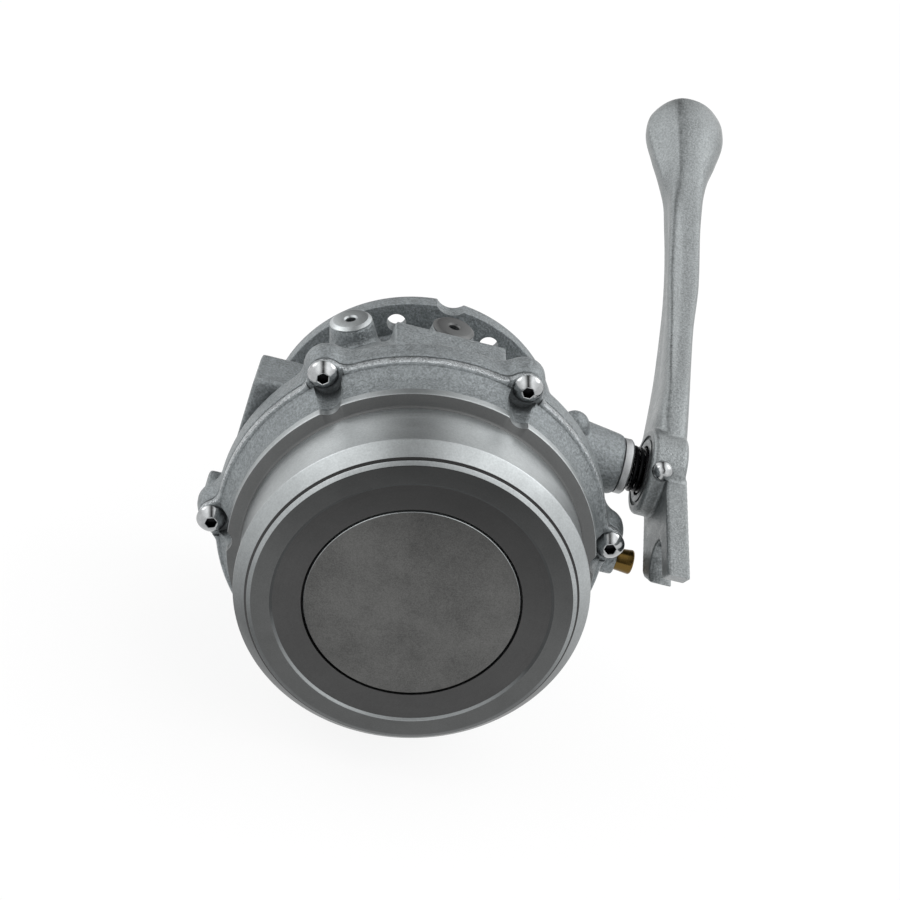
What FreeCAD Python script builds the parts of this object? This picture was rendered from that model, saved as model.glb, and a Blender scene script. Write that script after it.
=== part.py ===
import FreeCAD, Part
import math
import os
import re

import Sketcher

# Lever-operated adaptor valve for bottom loading of a road tanker.
# Frame: +Z up, the bore along Y, the nose towards -Y, the operating shaft along X.
# Origin: the centre of the rear flange's mounting face. Millimetres and degrees.
# A station is a distance behind the nose's front plane.

doc = FreeCAD.newDocument("adaptor_valve")
sheet = doc.addObject("Spreadsheet::Sheet", "Sizes")

SIZES = [
    ("overall_length", 165.8, "front plane of the nose to the mounting face"),
    # Nose
    ("port_radius", 51.1, "opening round the poppet"),
    ("inner_face_radius", 64.2, "edge of the flat beside the poppet"),
    ("outer_face_inner", 67.8, "start of the raised annulus"),
    ("outer_face_rise", 0.4, "annulus proud of the front plane"),
    ("outer_face_radius", 73.7, "edge of the raised annulus"),
    ("bevel_radius", 75.4, "foot of the small bevel"),
    ("bevel_station", 1.5, "foot of the small bevel"),
    ("step_radius", 76.9, "edge of the small step"),
    ("step_station", 1.9, "edge of the small step"),
    ("lip_radius", 82.85, "largest radius of the coupling lip"),
    ("lip_station", 9.4, "where the lip reaches its radius"),
    ("lip_land", 1.2, "length of the lip's land"),
    ("lip_back", 2.4, "length of the slope behind the lip"),
    ("neck_radius", 80.8, "cylinder behind the lip"),
    ("neck_station", 40.6, "rear end of the neck"),
    ("shoulder_inner", 81.7, "foot of the machined shoulder"),
    ("shoulder_station", 41.3, "foot of the machined shoulder"),
    ("shoulder_radius", 87.3, "machined shoulder"),
    ("shoulder_top_station", 42.8, "front edge of the machined land"),
    ("land_station", 47.3, "rear edge of the machined land"),
    ("cast_step", 0.35, "raw casting below the machined land"),
    ("cast_inset", 4.5, "raw casting below the rim"),
    ("cast_station", 57.0, "raw casting before the flange"),
    ("rim_radius", 93.5, "rim of the flange between lugs"),
    ("rim_overlap", 2.5, "depth of the lugs' ring in the rim"),
    ("rim_front_station", 61.5, "front of the rim"),
    ("joint_station", 67.5, "joint between head and body"),
    ("bore_radius", 67.0, "bore of the nose"),
    ("seat_station", 4.0, "front edge of the seat cone"),
    ("seat_depth", 6.0, "length of the seat cone, at 45 degrees"),
    ("bore_station", 15.0, "where the bore starts"),
    # Head screws
    ("screw_outset", 1.85, "screw circle outside the rim"),
    ("screw_angle", 18.7, "first screw, from +Z towards +X"),
    ("lug_inset", 0.3, "circle of lug centres inside the rim"),
    ("lug_radius", 8.5, "lug round each screw"),
    ("lug_blend", 8.0, "fillet between lug and rim"),
    ("screw_seat_station", 62.5, "seat of the screw heads"),
    ("scallop_radius", 9.2, "driver clearance before each head"),
    ("scallop_station", 44.4, "front of the driver clearance"),
    ("screw_radius", 4.0, "thread of the head screws"),
    ("screw_clearance", 0.4, "radial clearance in the head"),
    ("screw_length", 17.0, "under the head"),
    ("screw_head_radius", 7.2, "button head"),
    ("screw_head_height", 4.6, "button head"),
    ("screw_flat_radius", 4.0, "flat on top of the button head"),
    ("screw_dome_radius", 6.5, "upper part of the dome"),
    ("screw_dome_height", 3.3, "upper part of the dome"),
    ("screw_brim_radius", 6.85, "lower part of the dome"),
    ("screw_brim_height", 1.65, "lower part of the dome"),
    ("screw_edge_height", 0.55, "upright edge of the head"),
    ("socket_flats", 5.0, "hexagon socket across flats"),
    ("socket_depth", 3.0, "hexagon socket"),
    # Joint seal
    ("joint_groove_radius", 77.5, "middle of the seal groove"),
    ("joint_groove_width", 4.0, "seal groove"),
    ("joint_groove_depth", 2.6, "seal groove"),
    # Body
    ("body_rim_station", 81.0, "rear of the body's rim"),
    ("bowl_inset", 5.5, "bowl below the rim"),
    ("bowl_step", 1.5, "slope behind the rim"),
    ("bowl_mid_radius", 79.0, "bowl at the shaft"),
    ("bowl_mid_station", 109.0, "bowl at the shaft"),
    ("bowl_rear_radius", 63.0, "bowl before the throat"),
    ("bowl_rear_length", 27.8, "end of the bowl before the mounting face"),
    ("throat_radius", 54.0, "neck in front of the rear flange"),
    ("throat_length", 19.8, "start of the neck before the mounting face"),
    ("flange_radius", 72.2, "rear flange"),
    ("flange_width", 8.0, "rear flange"),
    ("flange_bevel", 0.8, "bevel of the flange's edges"),
    ("outlet_radius", 39.0, "bore of the outlet"),
    ("mid_wall", 8.05, "wall of the bowl at the shaft"),
    ("rear_wall", 9.1, "wall of the bowl before the throat"),
    ("rear_wall_lead", 7.0, "chamber ends before the bowl"),
    ("outlet_lead", 2.0, "outlet starts before the throat"),
    ("chamber_radius", 71.0, "chamber at the joint"),
    ("chamber_land", 10.0, "straight part of the chamber behind the rim"),
    ("flange_circle", 62.0, "radius of the flange's hole circle"),
    ("flange_hole_radius", 4.8, "flange hole"),
    ("flange_hole_angle", 22.5, "first flange hole, from +Z"),
    ("notch_circle", 77.5, "centre of the notch at the top"),
    ("notch_radius", 9.0, "notch at the top"),
    # Stem guide
    ("guide_ring_radius", 71.0, "guide ring outside"),
    ("guide_ring_inner", 64.0, "guide ring inside"),
    ("guide_ring_width", 6.0, "guide ring along the bore"),
    ("guide_arm_angle", 60.0, "first arm, from +Z towards +X"),
    ("guide_arm_width", 9.0, "arm of the guide"),
    ("guide_arm_overlap", 2.0, "arm in the ring"),
    ("guide_arm_length", 8.5, "arm of the guide along the bore"),
    ("guide_hub_radius", 14.0, "hub of the guide"),
    ("guide_hub_station", 54.5, "front of the hub"),
    ("guide_hub_length", 13.0, "hub of the guide"),
    ("guide_bush_radius", 10.2, "bush in the hub"),
    # Poppet
    ("poppet_radius", 50.0, "face of the poppet"),
    ("poppet_edge", 0.5, "bevel round the face"),
    ("poppet_back_edge", 1.0, "bevel before the seal"),
    ("poppet_disc_depth", 6.0, "face to the seal"),
    ("seal_inner", 40.0, "inner radius of the seal"),
    ("seal_depth", 4.5, "thickness of the seal"),
    ("seal_gap", 0.06, "seal to seat, across the cone"),
    ("seal_edge", 0.2, "cone of the seal ends before the seat does"),
    ("retainer_radius", 55.5, "plate behind the seal"),
    ("retainer_depth", 4.5, "plate behind the seal"),
    ("retainer_bore", 14.0, "opening in the plate"),
    ("retainer_edge", 1.0, "bevel of the plate"),
    ("retainer_screw_angle", 45.0, "first screw of the plate"),
    ("retainer_screw_circle", 30.0, "screws of the plate"),
    ("retainer_screw_radius", 2.5, "screws of the plate"),
    ("retainer_screw_length", 9.0, "screws of the plate"),
    ("retainer_head_radius", 4.4, "screws of the plate"),
    ("retainer_head_height", 2.6, "screws of the plate"),
    ("retainer_crown_radius", 2.6, "flat top of the head"),
    ("retainer_brim_height", 1.0, "upright edge of the head"),
    ("stem_radius", 8.0, "stem"),
    ("stem_end_radius", 6.0, "threaded ends of the stem"),
    ("stem_front_station", 5.5, "front end of the stem"),
    ("stem_shoulder_station", 15.0, "shoulder behind the poppet"),
    ("stem_rear_station", 68.0, "shoulder at the yoke"),
    ("stem_end_gap", 0.6, "end of the thread before the yoke's slot"),
    ("running_gap", 0.05, "radial running clearance"),
    # Poppet spring
    ("spring_large_radius", 44.0, "first coil"),
    ("spring_small_radius", 18.6, "last coil"),
    ("spring_wire", 1.9, "wire radius"),
    ("spring_turns", 4.5, "turns"),
    ("spring_clear", 0.2, "spring to its seats"),
    # Operating shaft and crank
    ("shaft_station", 105.0, "axis of the shaft"),
    ("shaft_height", 38.6, "axis of the shaft above the bore"),
    ("shaft_radius", 7.5, "shaft"),
    ("shaft_start", 8.0, "inner end of the shaft"),
    ("pin_height", 5.6, "crank pin above the bore in mid stroke"),
    ("crank_half_swing", 35.1, "each side of straight down"),
    ("crank_hub_radius", 13.0, "hub on the shaft"),
    ("crank_start", 8.0, "inner face of the crank"),
    ("crank_hub_length", 17.7, "hub on the shaft"),
    ("crank_plate", 8.0, "thickness of the arm"),
    ("crank_eye_radius", 8.0, "eye round the crank pin"),
    ("crank_pin_radius", 4.0, "crank pin"),
    ("crank_pin_start", -9.6, "free end of the crank pin"),
    ("roller_radius", 6.0, "roller on the crank pin"),
    ("roller_half", 5.8, "half the roller's length"),
    ("clip_radius", 6.4, "clip on the crank pin"),
    ("clip_width", 1.0, "clip on the crank pin"),
    ("clip_groove", 1.0, "depth of the clip's groove"),
    ("clip_gap", 1.0, "roller to clip"),
    ("dowel_radius", 2.5, "dowel through crank and shaft"),
    ("dowel_x", 20.5, "dowel through crank and shaft"),
    ("dowel_proud", 0.5, "dowel outside the hub, each end"),
    # Yoke
    ("yoke_half", 6.8, "half the yoke's thickness"),
    ("yoke_side_gap", 0.85, "roller to slot, each side"),
    ("yoke_wall", 6.0, "wall behind the slot"),
    ("yoke_bottom", -12.0, "underside of the yoke"),
    ("yoke_cap", 5.5, "yoke above the slot"),
    ("slot_end_gap", 0.9, "roller to slot, above and below"),
    # Shaft boss
    ("boss_end", 94.0, "outer face of the shaft boss"),
    ("boss_radius", 14.5, "outer end of the shaft boss"),
    ("boss_root_radius", 18.6, "foot of the shaft boss"),
    ("boss_root", 66.0, "foot of the shaft boss"),
    ("inner_boss_radius", 13.5, "boss inside the bowl"),
    ("inner_boss_start", 27.6, "inner face of the inside boss"),
    ("inner_boss_overlap", 4.0, "inside boss in the shaft boss"),
    ("boss_bore", 10.0, "bore for the bushes"),
    ("thrust_width", 1.6, "thrust washer"),
    ("thrust_radius", 12.5, "thrust washer"),
    ("bush_length", 14.0, "shaft bush"),
    ("bush_inner_start", 27.6, "inner bush"),
    ("bush_outer_start", 66.0, "outer bush"),
    ("seal_start", 82.0, "shaft seals"),
    ("seal_width", 4.0, "one shaft seal"),
    ("seal_space", 0.5, "between the shaft seals"),
    ("gland_width", 4.6, "gland washer"),
    ("gland_radius", 13.7, "gland washer"),
    ("gland_bevel", 1.0, "gland washer"),
    # Spring on the shaft
    ("coil_radius", 10.2, "middle of the wire"),
    ("coil_wire", 1.2, "wire radius"),
    ("coil_turns", 2.75, "turns"),
    ("coil_clear", 0.2, "spring to its seats"),
    # Handle
    ("handle_face", 105.8, "inner face of the handle's hub"),
    ("handle_hub_length", 18.0, "hub of the handle"),
    ("handle_hub_radius", 21.5, "hub of the handle"),
    ("handle_ring_radius", 20.3, "flat ring on the hub"),
    ("handle_ring_bevel", 1.6, "length of the hub's bevel"),
    ("handle_edge", 1.5, "bevel at the hub's outer end"),
    ("handle_recess_radius", 12.5, "recess for the spring"),
    ("handle_recess_depth", 2.8, "recess for the spring"),
    ("handle_angle", 17.5, "arm above the horizontal when closed"),
    ("pin_x", 5.6, "cross pin from the hub's face"),
    ("pin_angle", 35.0, "cross pin above the horizontal"),
    ("pin_radius", 2.5, "cross pin"),
    ("pin_head_radius", 5.15, "domed head of the cross pin"),
    ("pin_head_lift", 1.2, "middle of the dome outside the hub"),
    ("pin_end", 1.0, "free end of the pin inside the hub"),
    ("blade_start", 8.3, "inner face of the tail from the hub's face"),
    ("blade_width", 11.0, "thickness of the tail"),
    ("arm_length", 272.0, "shaft to the tip of the knob"),
    ("arm_root_width", 14.8, "thickness of the arm at the hub"),
    ("arm_root_x", 12.1, "middle of the arm at the hub, from the hub's face"),
    ("arm_neck_x", 17.5, "middle of the arm at its neck"),
    ("arm_tip_x", 17.0, "middle of the knob"),
    ("arm_root_half", 21.0, "half height of the arm at the hub"),
    ("arm_neck_half", 9.3, "half height of the arm at its neck"),
    ("arm_neck_width", 17.2, "thickness of the arm at its neck"),
    ("knob_width", 42.2, "knob across"),
    ("knob_height", 32.0, "knob up and down"),
    # Side port and small bosses of the body
    ("pad_left", -31.0, "left edge of the pad on the bowl"),
    ("pad_width", 55.0, "pad on the bowl"),
    ("pad_top", 81.0, "top of the pad on the bowl"),
    ("pad_station", 92.0, "front of the pad on the bowl"),
    ("pad_length", 20.0, "pad on the bowl"),
    ("pad_depth", 24.0, "pad down into the bowl"),
    ("tapped_length_before", 34.8, "axes of the two tapped bosses before the mounting face"),
    ("tapped_face", 77.0, "face of the upper tapped boss"),
    ("tapped_radius", 10.4, "tapped bosses"),
    ("tapped_depth", 12.0, "tapped holes"),
    ("tapped_hole_radius", 2.5, "tapped holes"),
    ("tapped_length", 14.0, "upper tapped boss"),
    ("side_tapped_x", -49.6, "face of the side tapped boss"),
    ("side_tapped_z", 67.5, "face of the side tapped boss"),
    ("side_tapped_turn", -22.5, "side tapped boss from +Z"),
    ("side_tapped_length", 22.0, "side tapped boss"),
    ("block_face", 90.6, "front of the side block's outer face"),
    ("block_rear_face", 87.0, "rear of the side block's outer face"),
    ("block_root", 62.0, "inner edge of the side block"),
    ("block_top", 45.2, "top of the side block"),
    ("block_station", 87.0, "front of the side block"),
    ("block_height", 47.0, "side block"),
    ("block_length", 30.0, "side block"),
    ("ear_face", 98.5, "outer face of the side ear, left of the bore"),
    ("ear_top", -8.6, "top of the side ear"),
    ("ear_station", 79.0, "front of the side ear"),
    ("ear_depth", 22.0, "side ear"),
    ("ear_height", 21.0, "side ear"),
    ("ear_length", 11.5, "side ear"),
    ("lump_x", 66.0, "lump beside the shaft boss"),
    ("lump_z", 56.5, "lump beside the shaft boss"),
    ("lump_station", 101.0, "lump beside the shaft boss"),
    ("lump_radius", 7.0, "lump beside the shaft boss"),
    ("port_station", 84.0, "axis of the side port"),
    ("port_height", -1.0, "axis of the side port"),
    ("port_boss_radius", 8.0, "boss of the side port"),
    ("port_boss_end", 103.5, "face of the side port"),
    ("port_boss_length", 24.0, "boss of the side port"),
    ("plug_radius", 5.3, "brass plug at the boss"),
    ("plug_tip_radius", 6.1, "brass plug at its tip"),
    ("plug_end", 112.3, "tip of the brass plug"),
    ("plug_bevel", 0.6, "bevel at the tip"),
    ("plug_thread_radius", 4.6, "thread of the brass plug"),
    ("plug_thread_length", 9.0, "thread of the brass plug"),
    ("plug_bore", 2.5, "hollow of the brass plug"),
    ("plug_bore_depth", 6.0, "hollow of the brass plug"),
    # Cutters
    ("cutter_length", 100.0, "a cutter that passes right through"),
    ("cutter_lead", 2.0, "a cutter starts outside the piece"),
]

# Corners of the forked tail about the shaft: Y, then Z.
TAIL = [
    ("tail_root_low", 0.5, -21.2),
    ("tail_leg_root", -39.1, -32.2),
    ("tail_leg_bend", -42.6, -32.0),
    ("tail_leg_edge", -44.7, -31.6),
    ("tail_leg_tip", -60.2, -24.5),
    ("tail_slot_leg", -50.8, -22.6),
    ("tail_slot_low", -45.6, -19.3),
    ("tail_slot_end", -44.3, -13.3),
    ("tail_slot_high", -47.6, -8.1),
    ("tail_slot_horn", -53.6, -6.8),
    ("tail_horn_low", -76.7, -10.9),
    ("tail_horn_tip", -85.5, -2.6),
    ("tail_root_high", -16.0, 10.0),
]
for corner, across, up in TAIL:
    SIZES.append((corner + "_y", across, "corner of the forked tail"))
    SIZES.append((corner + "_z", up, "corner of the forked tail"))

row = 1
for alias, value, meaning in SIZES:
    sheet.set("A%d" % row, meaning)
    sheet.set("B%d" % row, str(value))
    sheet.setAlias("B%d" % row, alias)
    row += 1
doc.recompute()

ALIASES = {alias for alias, value, meaning in SIZES}


def formula(text):
    """The text with each size's alias written as a cell of the sheet."""
    def cell(match):
        word = match.group(0)
        return "Sizes." + word if word in ALIASES else word
    return re.sub(r"[A-Za-z_][A-Za-z_0-9]*", cell, str(text))


def value(text):
    """The number that a formula gives now."""
    found = sheet.evalExpression(formula(text))
    return float(getattr(found, "Value", found))


def bind(thing, prop, text):
    thing.setExpression(prop, formula(text))


def behind(station):
    """The Y coordinate of a station."""
    return "(%s - overall_length)" % station


def place(thing, x="0", y="0", z="0"):
    bind(thing, ".Placement.Base.x", x)
    bind(thing, ".Placement.Base.y", y)
    bind(thing, ".Placement.Base.z", z)


def turn(thing, axis, angle):
    """Turns a thing about an axis through its own placement, the angle a formula."""
    thing.Placement = FreeCAD.Placement(FreeCAD.Vector(0, 0, 0), FreeCAD.Rotation(axis, value(angle)))
    bind(thing, ".Placement.Rotation.Angle", angle)


CAST = "(rim_radius - cast_inset)"
BOWL = "(rim_radius - bowl_inset)"
SCREW_CIRCLE = "(rim_radius + screw_outset)"
LUG_CIRCLE = "(rim_radius - lug_inset)"
CRANK = "(shaft_height - pin_height)"
SLOT_FRONT = "(shaft_station - " + CRANK + " * sin(crank_half_swing) - roller_radius - yoke_side_gap)"
SLOT_TOP = "(shaft_height - " + CRANK + " * cos(crank_half_swing) + roller_radius + slot_end_gap)"
SLOT_BOTTOM = "(pin_height - roller_radius - slot_end_gap)"
STEM_END = "(" + SLOT_FRONT + " - stem_end_gap)"
TAPPED_Y = "0 - tapped_length_before"

X_AXIS = FreeCAD.Vector(1, 0, 0)
Y_AXIS = FreeCAD.Vector(0, 1, 0)
Z_AXIS = FreeCAD.Vector(0, 0, 1)


def origin_plane(body, role):
    for feature in body.Origin.OriginFeatures:
        if feature.Role == role:
            return feature
    raise ValueError(role)


def outline(sketch, corners):
    """A closed outline through corners, each a pair of formulas."""
    points = [FreeCAD.Vector(value(u), value(v), 0) for u, v in corners]
    count = len(points)
    for n in range(count):
        sketch.addGeometry(Part.LineSegment(points[n], points[(n + 1) % count]), False)
    for n in range(count):
        sketch.addConstraint(Sketcher.Constraint("Coincident", n, 2, (n + 1) % count, 1))
    for n, (u, v) in enumerate(corners):
        across = sketch.addConstraint(Sketcher.Constraint("DistanceX", -1, 1, n, 1, points[n].x))
        bind(sketch, "Constraints[%d]" % across, u)
        along = sketch.addConstraint(Sketcher.Constraint("DistanceY", -1, 1, n, 1, points[n].y))
        bind(sketch, "Constraints[%d]" % along, v)


def new_body(name):
    body = doc.addObject("PartDesign::Body", name)
    body.Label = name
    return body


def new_sketch(body, name, role):
    sketch = body.newObject("Sketcher::SketchObject", name)
    sketch.AttachmentSupport = [(origin_plane(body, role), "")]
    sketch.MapMode = "FlatFace"
    return sketch


def turned(name, corners):
    """A piece turned about the bore; corners are (radius, Y)."""
    body = new_body(name)
    sketch = new_sketch(body, name + "_profile", "XY_Plane")
    outline(sketch, corners)
    feature = body.newObject("PartDesign::Revolution", name + "_turned")
    feature.Profile = sketch
    feature.ReferenceAxis = (sketch, ["V_Axis"])
    feature.Angle = 360
    sketch.Visibility = False
    return body


def turned_on_shaft(name, corners):
    """A piece turned about the operating shaft; corners are (X, radius)."""
    body = new_body(name)
    sketch = new_sketch(body, name + "_profile", "XZ_Plane")
    outline(sketch, corners)
    feature = body.newObject("PartDesign::Revolution", name + "_turned")
    feature.Profile = sketch
    feature.ReferenceAxis = (sketch, ["H_Axis"])
    feature.Angle = 360
    place(body, "0", behind("shaft_station"), "shaft_height")
    return body


def rod(name, radius, length, x="0", y="0", z="0", axis="Y"):
    """A plain cylinder from a point towards +X, +Y or +Z."""
    thing = doc.addObject("Part::Cylinder", name)
    bind(thing, "Radius", radius)
    bind(thing, "Height", length)
    turns = {"X": (Y_AXIS, 90), "Y": (X_AXIS, -90), "Z": (Z_AXIS, 0)}
    about, angle = turns[axis]
    thing.Placement = FreeCAD.Placement(FreeCAD.Vector(0, 0, 0), FreeCAD.Rotation(about, angle))
    place(thing, x, y, z)
    return thing


def block(name, sizes, x="0", y="0", z="0"):
    """A plain block from its low corner."""
    thing = doc.addObject("Part::Box", name)
    bind(thing, "Length", sizes[0])
    bind(thing, "Width", sizes[1])
    bind(thing, "Height", sizes[2])
    place(thing, x, y, z)
    return thing


def fuse(name, things):
    joined = doc.addObject("Part::MultiFuse", name)
    joined.Shapes = things
    return joined


def cut(name, base, tools):
    tool = tools[0] if len(tools) == 1 else fuse(name + "_tools", tools)
    result = doc.addObject("Part::Cut", name)
    result.Base = base
    result.Tool = tool
    return result


def fillet(name, base, radius, wanted):
    """Rounds the base's edges for which wanted(edge) holds."""
    doc.recompute()
    size = value(radius)
    edges = [
        (n, size, size)
        for n, edge in enumerate(base.Shape.Edges, 1)
        if wanted(edge)
    ]
    if not edges:
        raise ValueError("no edge to round in " + name)
    rounded = doc.addObject("Part::Fillet", name)
    rounded.Base = base
    rounded.Edges = edges
    return rounded


def on_circle(circle, angle):
    """X and Z formulas of a point at an angle from +Z towards +X."""
    return "%s * sin(%s)" % (circle, angle), "%s * cos(%s)" % (circle, angle)


SCREWS = 6
FLANGE_HOLES = 8
GUIDE_ARMS = 3
RETAINER_SCREWS = 4
SHAFT_SEALS = 2


def screw_point(number, circle=SCREW_CIRCLE):
    return on_circle(circle, "(screw_angle + %d * 360 / %d)" % (number, SCREWS))


def straight_along_y(edge):
    if not isinstance(edge.Curve, Part.Line):
        return False
    return abs(abs(edge.Curve.Direction.y) - 1) < 1e-6


def lobed_rim(name, start, end):
    """The rim of the joint with its six screw lugs, between two stations."""
    length = "(%s - %s)" % (end, start)
    ring = rod(name + "_ring", "rim_radius", length, "0", behind(start), "0")
    lugs = []
    for n in range(SCREWS):
        x, z = screw_point(n, LUG_CIRCLE)
        lugs.append(rod("%s_lug%d" % (name, n), "lug_radius", length, x, behind(start), z))
    plain = fuse(name + "_plain", [ring] + lugs)
    return fillet(name + "_blended", plain, "lug_blend", straight_along_y)


def make_head():
    shell = turned("head_shell", [
        ("port_radius", behind("0")),
        ("inner_face_radius", behind("0")),
        ("outer_face_inner", behind("(0 - outer_face_rise)")),
        ("outer_face_radius", behind("(0 - outer_face_rise)")),
        ("bevel_radius", behind("bevel_station")),
        ("step_radius", behind("step_station")),
        ("lip_radius", behind("lip_station")),
        ("lip_radius", behind("(lip_station + lip_land)")),
        ("neck_radius", behind("(lip_station + lip_land + lip_back)")),
        ("neck_radius", behind("neck_station")),
        ("shoulder_inner", behind("shoulder_station")),
        ("shoulder_radius", behind("shoulder_top_station")),
        ("shoulder_radius", behind("land_station")),
        ("shoulder_radius - cast_step", behind("(land_station + cast_step)")),
        (CAST, behind("cast_station")),
        ("rim_radius", behind("rim_front_station")),
        ("rim_radius", behind("joint_station")),
        ("joint_groove_radius + joint_groove_width / 2", behind("joint_station")),
        ("joint_groove_radius + joint_groove_width / 2", behind("(joint_station - joint_groove_depth)")),
        ("joint_groove_radius - joint_groove_width / 2", behind("(joint_station - joint_groove_depth)")),
        ("joint_groove_radius - joint_groove_width / 2", behind("joint_station")),
        ("guide_ring_radius", behind("joint_station")),
        ("guide_ring_radius", behind("(joint_station - guide_ring_width)")),
        ("bore_radius", behind("(joint_station - guide_ring_width)")),
        ("bore_radius", behind("bore_station")),
        ("port_radius + seat_depth", behind("(seat_station + seat_depth)")),
        ("port_radius", behind("seat_station")),
    ])
    rim = lobed_rim("head_rim", "screw_seat_station", "joint_station")
    bore = rod("head_rim_bore", "rim_radius - rim_overlap", "cutter_length", "0",
               behind("(screw_seat_station - cutter_lead)"), "0")
    rim_ring = cut("head_rim_ring", rim, [bore])
    solid = fuse("head_solid", [shell, rim_ring])
    tools = []
    for n in range(SCREWS):
        x, z = screw_point(n)
        tools.append(rod("scallop%d" % n, "scallop_radius", "screw_seat_station - scallop_station",
                         x, behind("scallop_station"), z))
        tools.append(rod("head_hole%d" % n, "screw_radius + screw_clearance", "cutter_length",
                         x, behind("(screw_seat_station - cutter_lead)"), z))
    return cut("adaptor_head", solid, tools)


def make_joint_seal():
    seal = doc.addObject("Part::Torus", "joint_seal")
    bind(seal, "Radius1", "joint_groove_radius")
    bind(seal, "Radius2", "joint_groove_depth / 2")
    seal.Placement = FreeCAD.Placement(FreeCAD.Vector(0, 0, 0), FreeCAD.Rotation(X_AXIS, 90))
    place(seal, "0", behind("(joint_station - joint_groove_depth / 2)"), "0")
    return seal


def make_head_screw(number):
    """A button-head screw with a hexagon socket, its head towards the nose."""
    name = "head_screw%d" % number
    body = turned(name + "_body", [
        ("0", "0 - screw_head_height"),
        ("screw_flat_radius", "0 - screw_head_height"),
        ("screw_dome_radius", "0 - screw_dome_height"),
        ("screw_brim_radius", "0 - screw_brim_height"),
        ("screw_head_radius", "0 - screw_edge_height"),
        ("screw_head_radius", "0"),
        ("screw_radius", "0"),
        ("screw_radius", "screw_length"),
        ("0", "screw_length"),
    ])
    socket = doc.addObject("Part::Prism", name + "_socket")
    socket.Polygon = 6
    bind(socket, "Circumradius", "socket_flats / 2 / cos(30)")
    bind(socket, "Height", "socket_depth + cutter_lead")
    socket.Placement = FreeCAD.Placement(FreeCAD.Vector(0, 0, 0), FreeCAD.Rotation(X_AXIS, -90))
    place(socket, "0", "0 - screw_head_height - cutter_lead", "0")
    screw = cut(name, body, [socket])
    x, z = screw_point(number)
    place(screw, x, behind("screw_seat_station"), z)
    return screw


def turn_kept(thing, angle):
    """Turns a placed thing about the Y direction through its own corner."""
    base = thing.Placement.Base
    thing.Placement = FreeCAD.Placement(base, FreeCAD.Rotation(Y_AXIS, value(angle)))
    bind(thing, ".Placement.Rotation.Angle", angle)


def make_side_block():
    """A pad on the bowl's left whose outer face leans in towards the rear."""
    body = new_body("side_block")
    sketch = new_sketch(body, "side_block_outline", "XY_Plane")
    outline(sketch, [
        ("0 - block_root", behind("block_station")),
        ("0 - block_face", behind("block_station")),
        ("0 - block_rear_face", behind("(block_station + block_length)")),
        ("0 - block_root", behind("(block_station + block_length)")),
    ])
    pad = body.newObject("PartDesign::Pad", "side_block_pad")
    pad.Profile = sketch
    bind(pad, "Length", "block_height")
    place(body, "0", "0", "block_top - block_height")
    return body


def make_chamber():
    """The inside of the body, from the joint to the mounting face."""
    return turned("body_chamber", [
        ("0", behind("(joint_station - cutter_lead)")),
        ("chamber_radius", behind("(joint_station - cutter_lead)")),
        ("chamber_radius", behind("(body_rim_station + chamber_land)")),
        ("bowl_mid_radius - mid_wall", behind("bowl_mid_station")),
        ("bowl_rear_radius - rear_wall", "0 - bowl_rear_length - rear_wall_lead"),
        ("outlet_radius", "0 - throat_length - outlet_lead"),
        ("outlet_radius", "cutter_lead"),
        ("0", "cutter_lead"),
    ])


def make_body_shell():
    """The turned outside of the body as a solid."""
    return turned("body_shell", [
        ("0", behind("joint_station")),
        ("rim_radius", behind("joint_station")),
        ("rim_radius", behind("body_rim_station")),
        (BOWL, behind("(body_rim_station + bowl_step)")),
        ("bowl_mid_radius", behind("bowl_mid_station")),
        ("bowl_rear_radius", "0 - bowl_rear_length"),
        ("throat_radius", "0 - throat_length"),
        ("throat_radius", "0 - flange_width"),
        ("flange_radius - flange_bevel", "0 - flange_width"),
        ("flange_radius", "flange_bevel - flange_width"),
        ("flange_radius", "0 - flange_bevel"),
        ("flange_radius - flange_bevel", "0"),
        ("0", "0"),
    ])


def make_shaft_boss():
    boss = doc.addObject("Part::Cone", "shaft_boss")
    bind(boss, "Radius1", "boss_root_radius")
    bind(boss, "Radius2", "boss_radius")
    bind(boss, "Height", "boss_end - boss_root")
    boss.Placement = FreeCAD.Placement(FreeCAD.Vector(0, 0, 0), FreeCAD.Rotation(Y_AXIS, 90))
    place(boss, "boss_root", behind("shaft_station"), "shaft_height")
    return boss


def make_boss_lump():
    lump = doc.addObject("Part::Sphere", "boss_lump")
    bind(lump, "Radius", "lump_radius")
    place(lump, "lump_x", behind("lump_station"), "lump_z")
    return lump


def side_tapped_rod(name, radius, length):
    """A rod from the side tapped boss's face inwards along its leaning axis."""
    thing = rod(name, radius, length, "side_tapped_x - %s * sin(side_tapped_turn)" % length, TAPPED_Y,
                "side_tapped_z - %s * cos(side_tapped_turn)" % length, "Z")
    turn_kept(thing, "side_tapped_turn")
    return thing


def make_body_forms():
    """The pads, bosses, block, ear and lump cast on the outside of the bowl."""
    port = rod("port_boss", "port_boss_radius", "port_boss_length", "port_boss_end - port_boss_length",
               behind("port_station"), "port_height", "X")
    pad = block("name_pad", ("pad_width", "pad_length", "pad_depth"), "pad_left", behind("pad_station"),
                "pad_top - pad_depth")
    upper = rod("tapped_boss", "tapped_radius", "tapped_length", "0", TAPPED_Y,
                "tapped_face - tapped_length", "Z")
    side = side_tapped_rod("side_tapped_boss", "tapped_radius", "side_tapped_length")
    ear = block("side_ear", ("ear_depth", "ear_length", "ear_height"), "0 - ear_face",
                behind("ear_station"), "ear_top - ear_height")
    return [make_shaft_boss(), port, pad, upper, side, make_side_block(), ear, make_boss_lump()]


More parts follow.
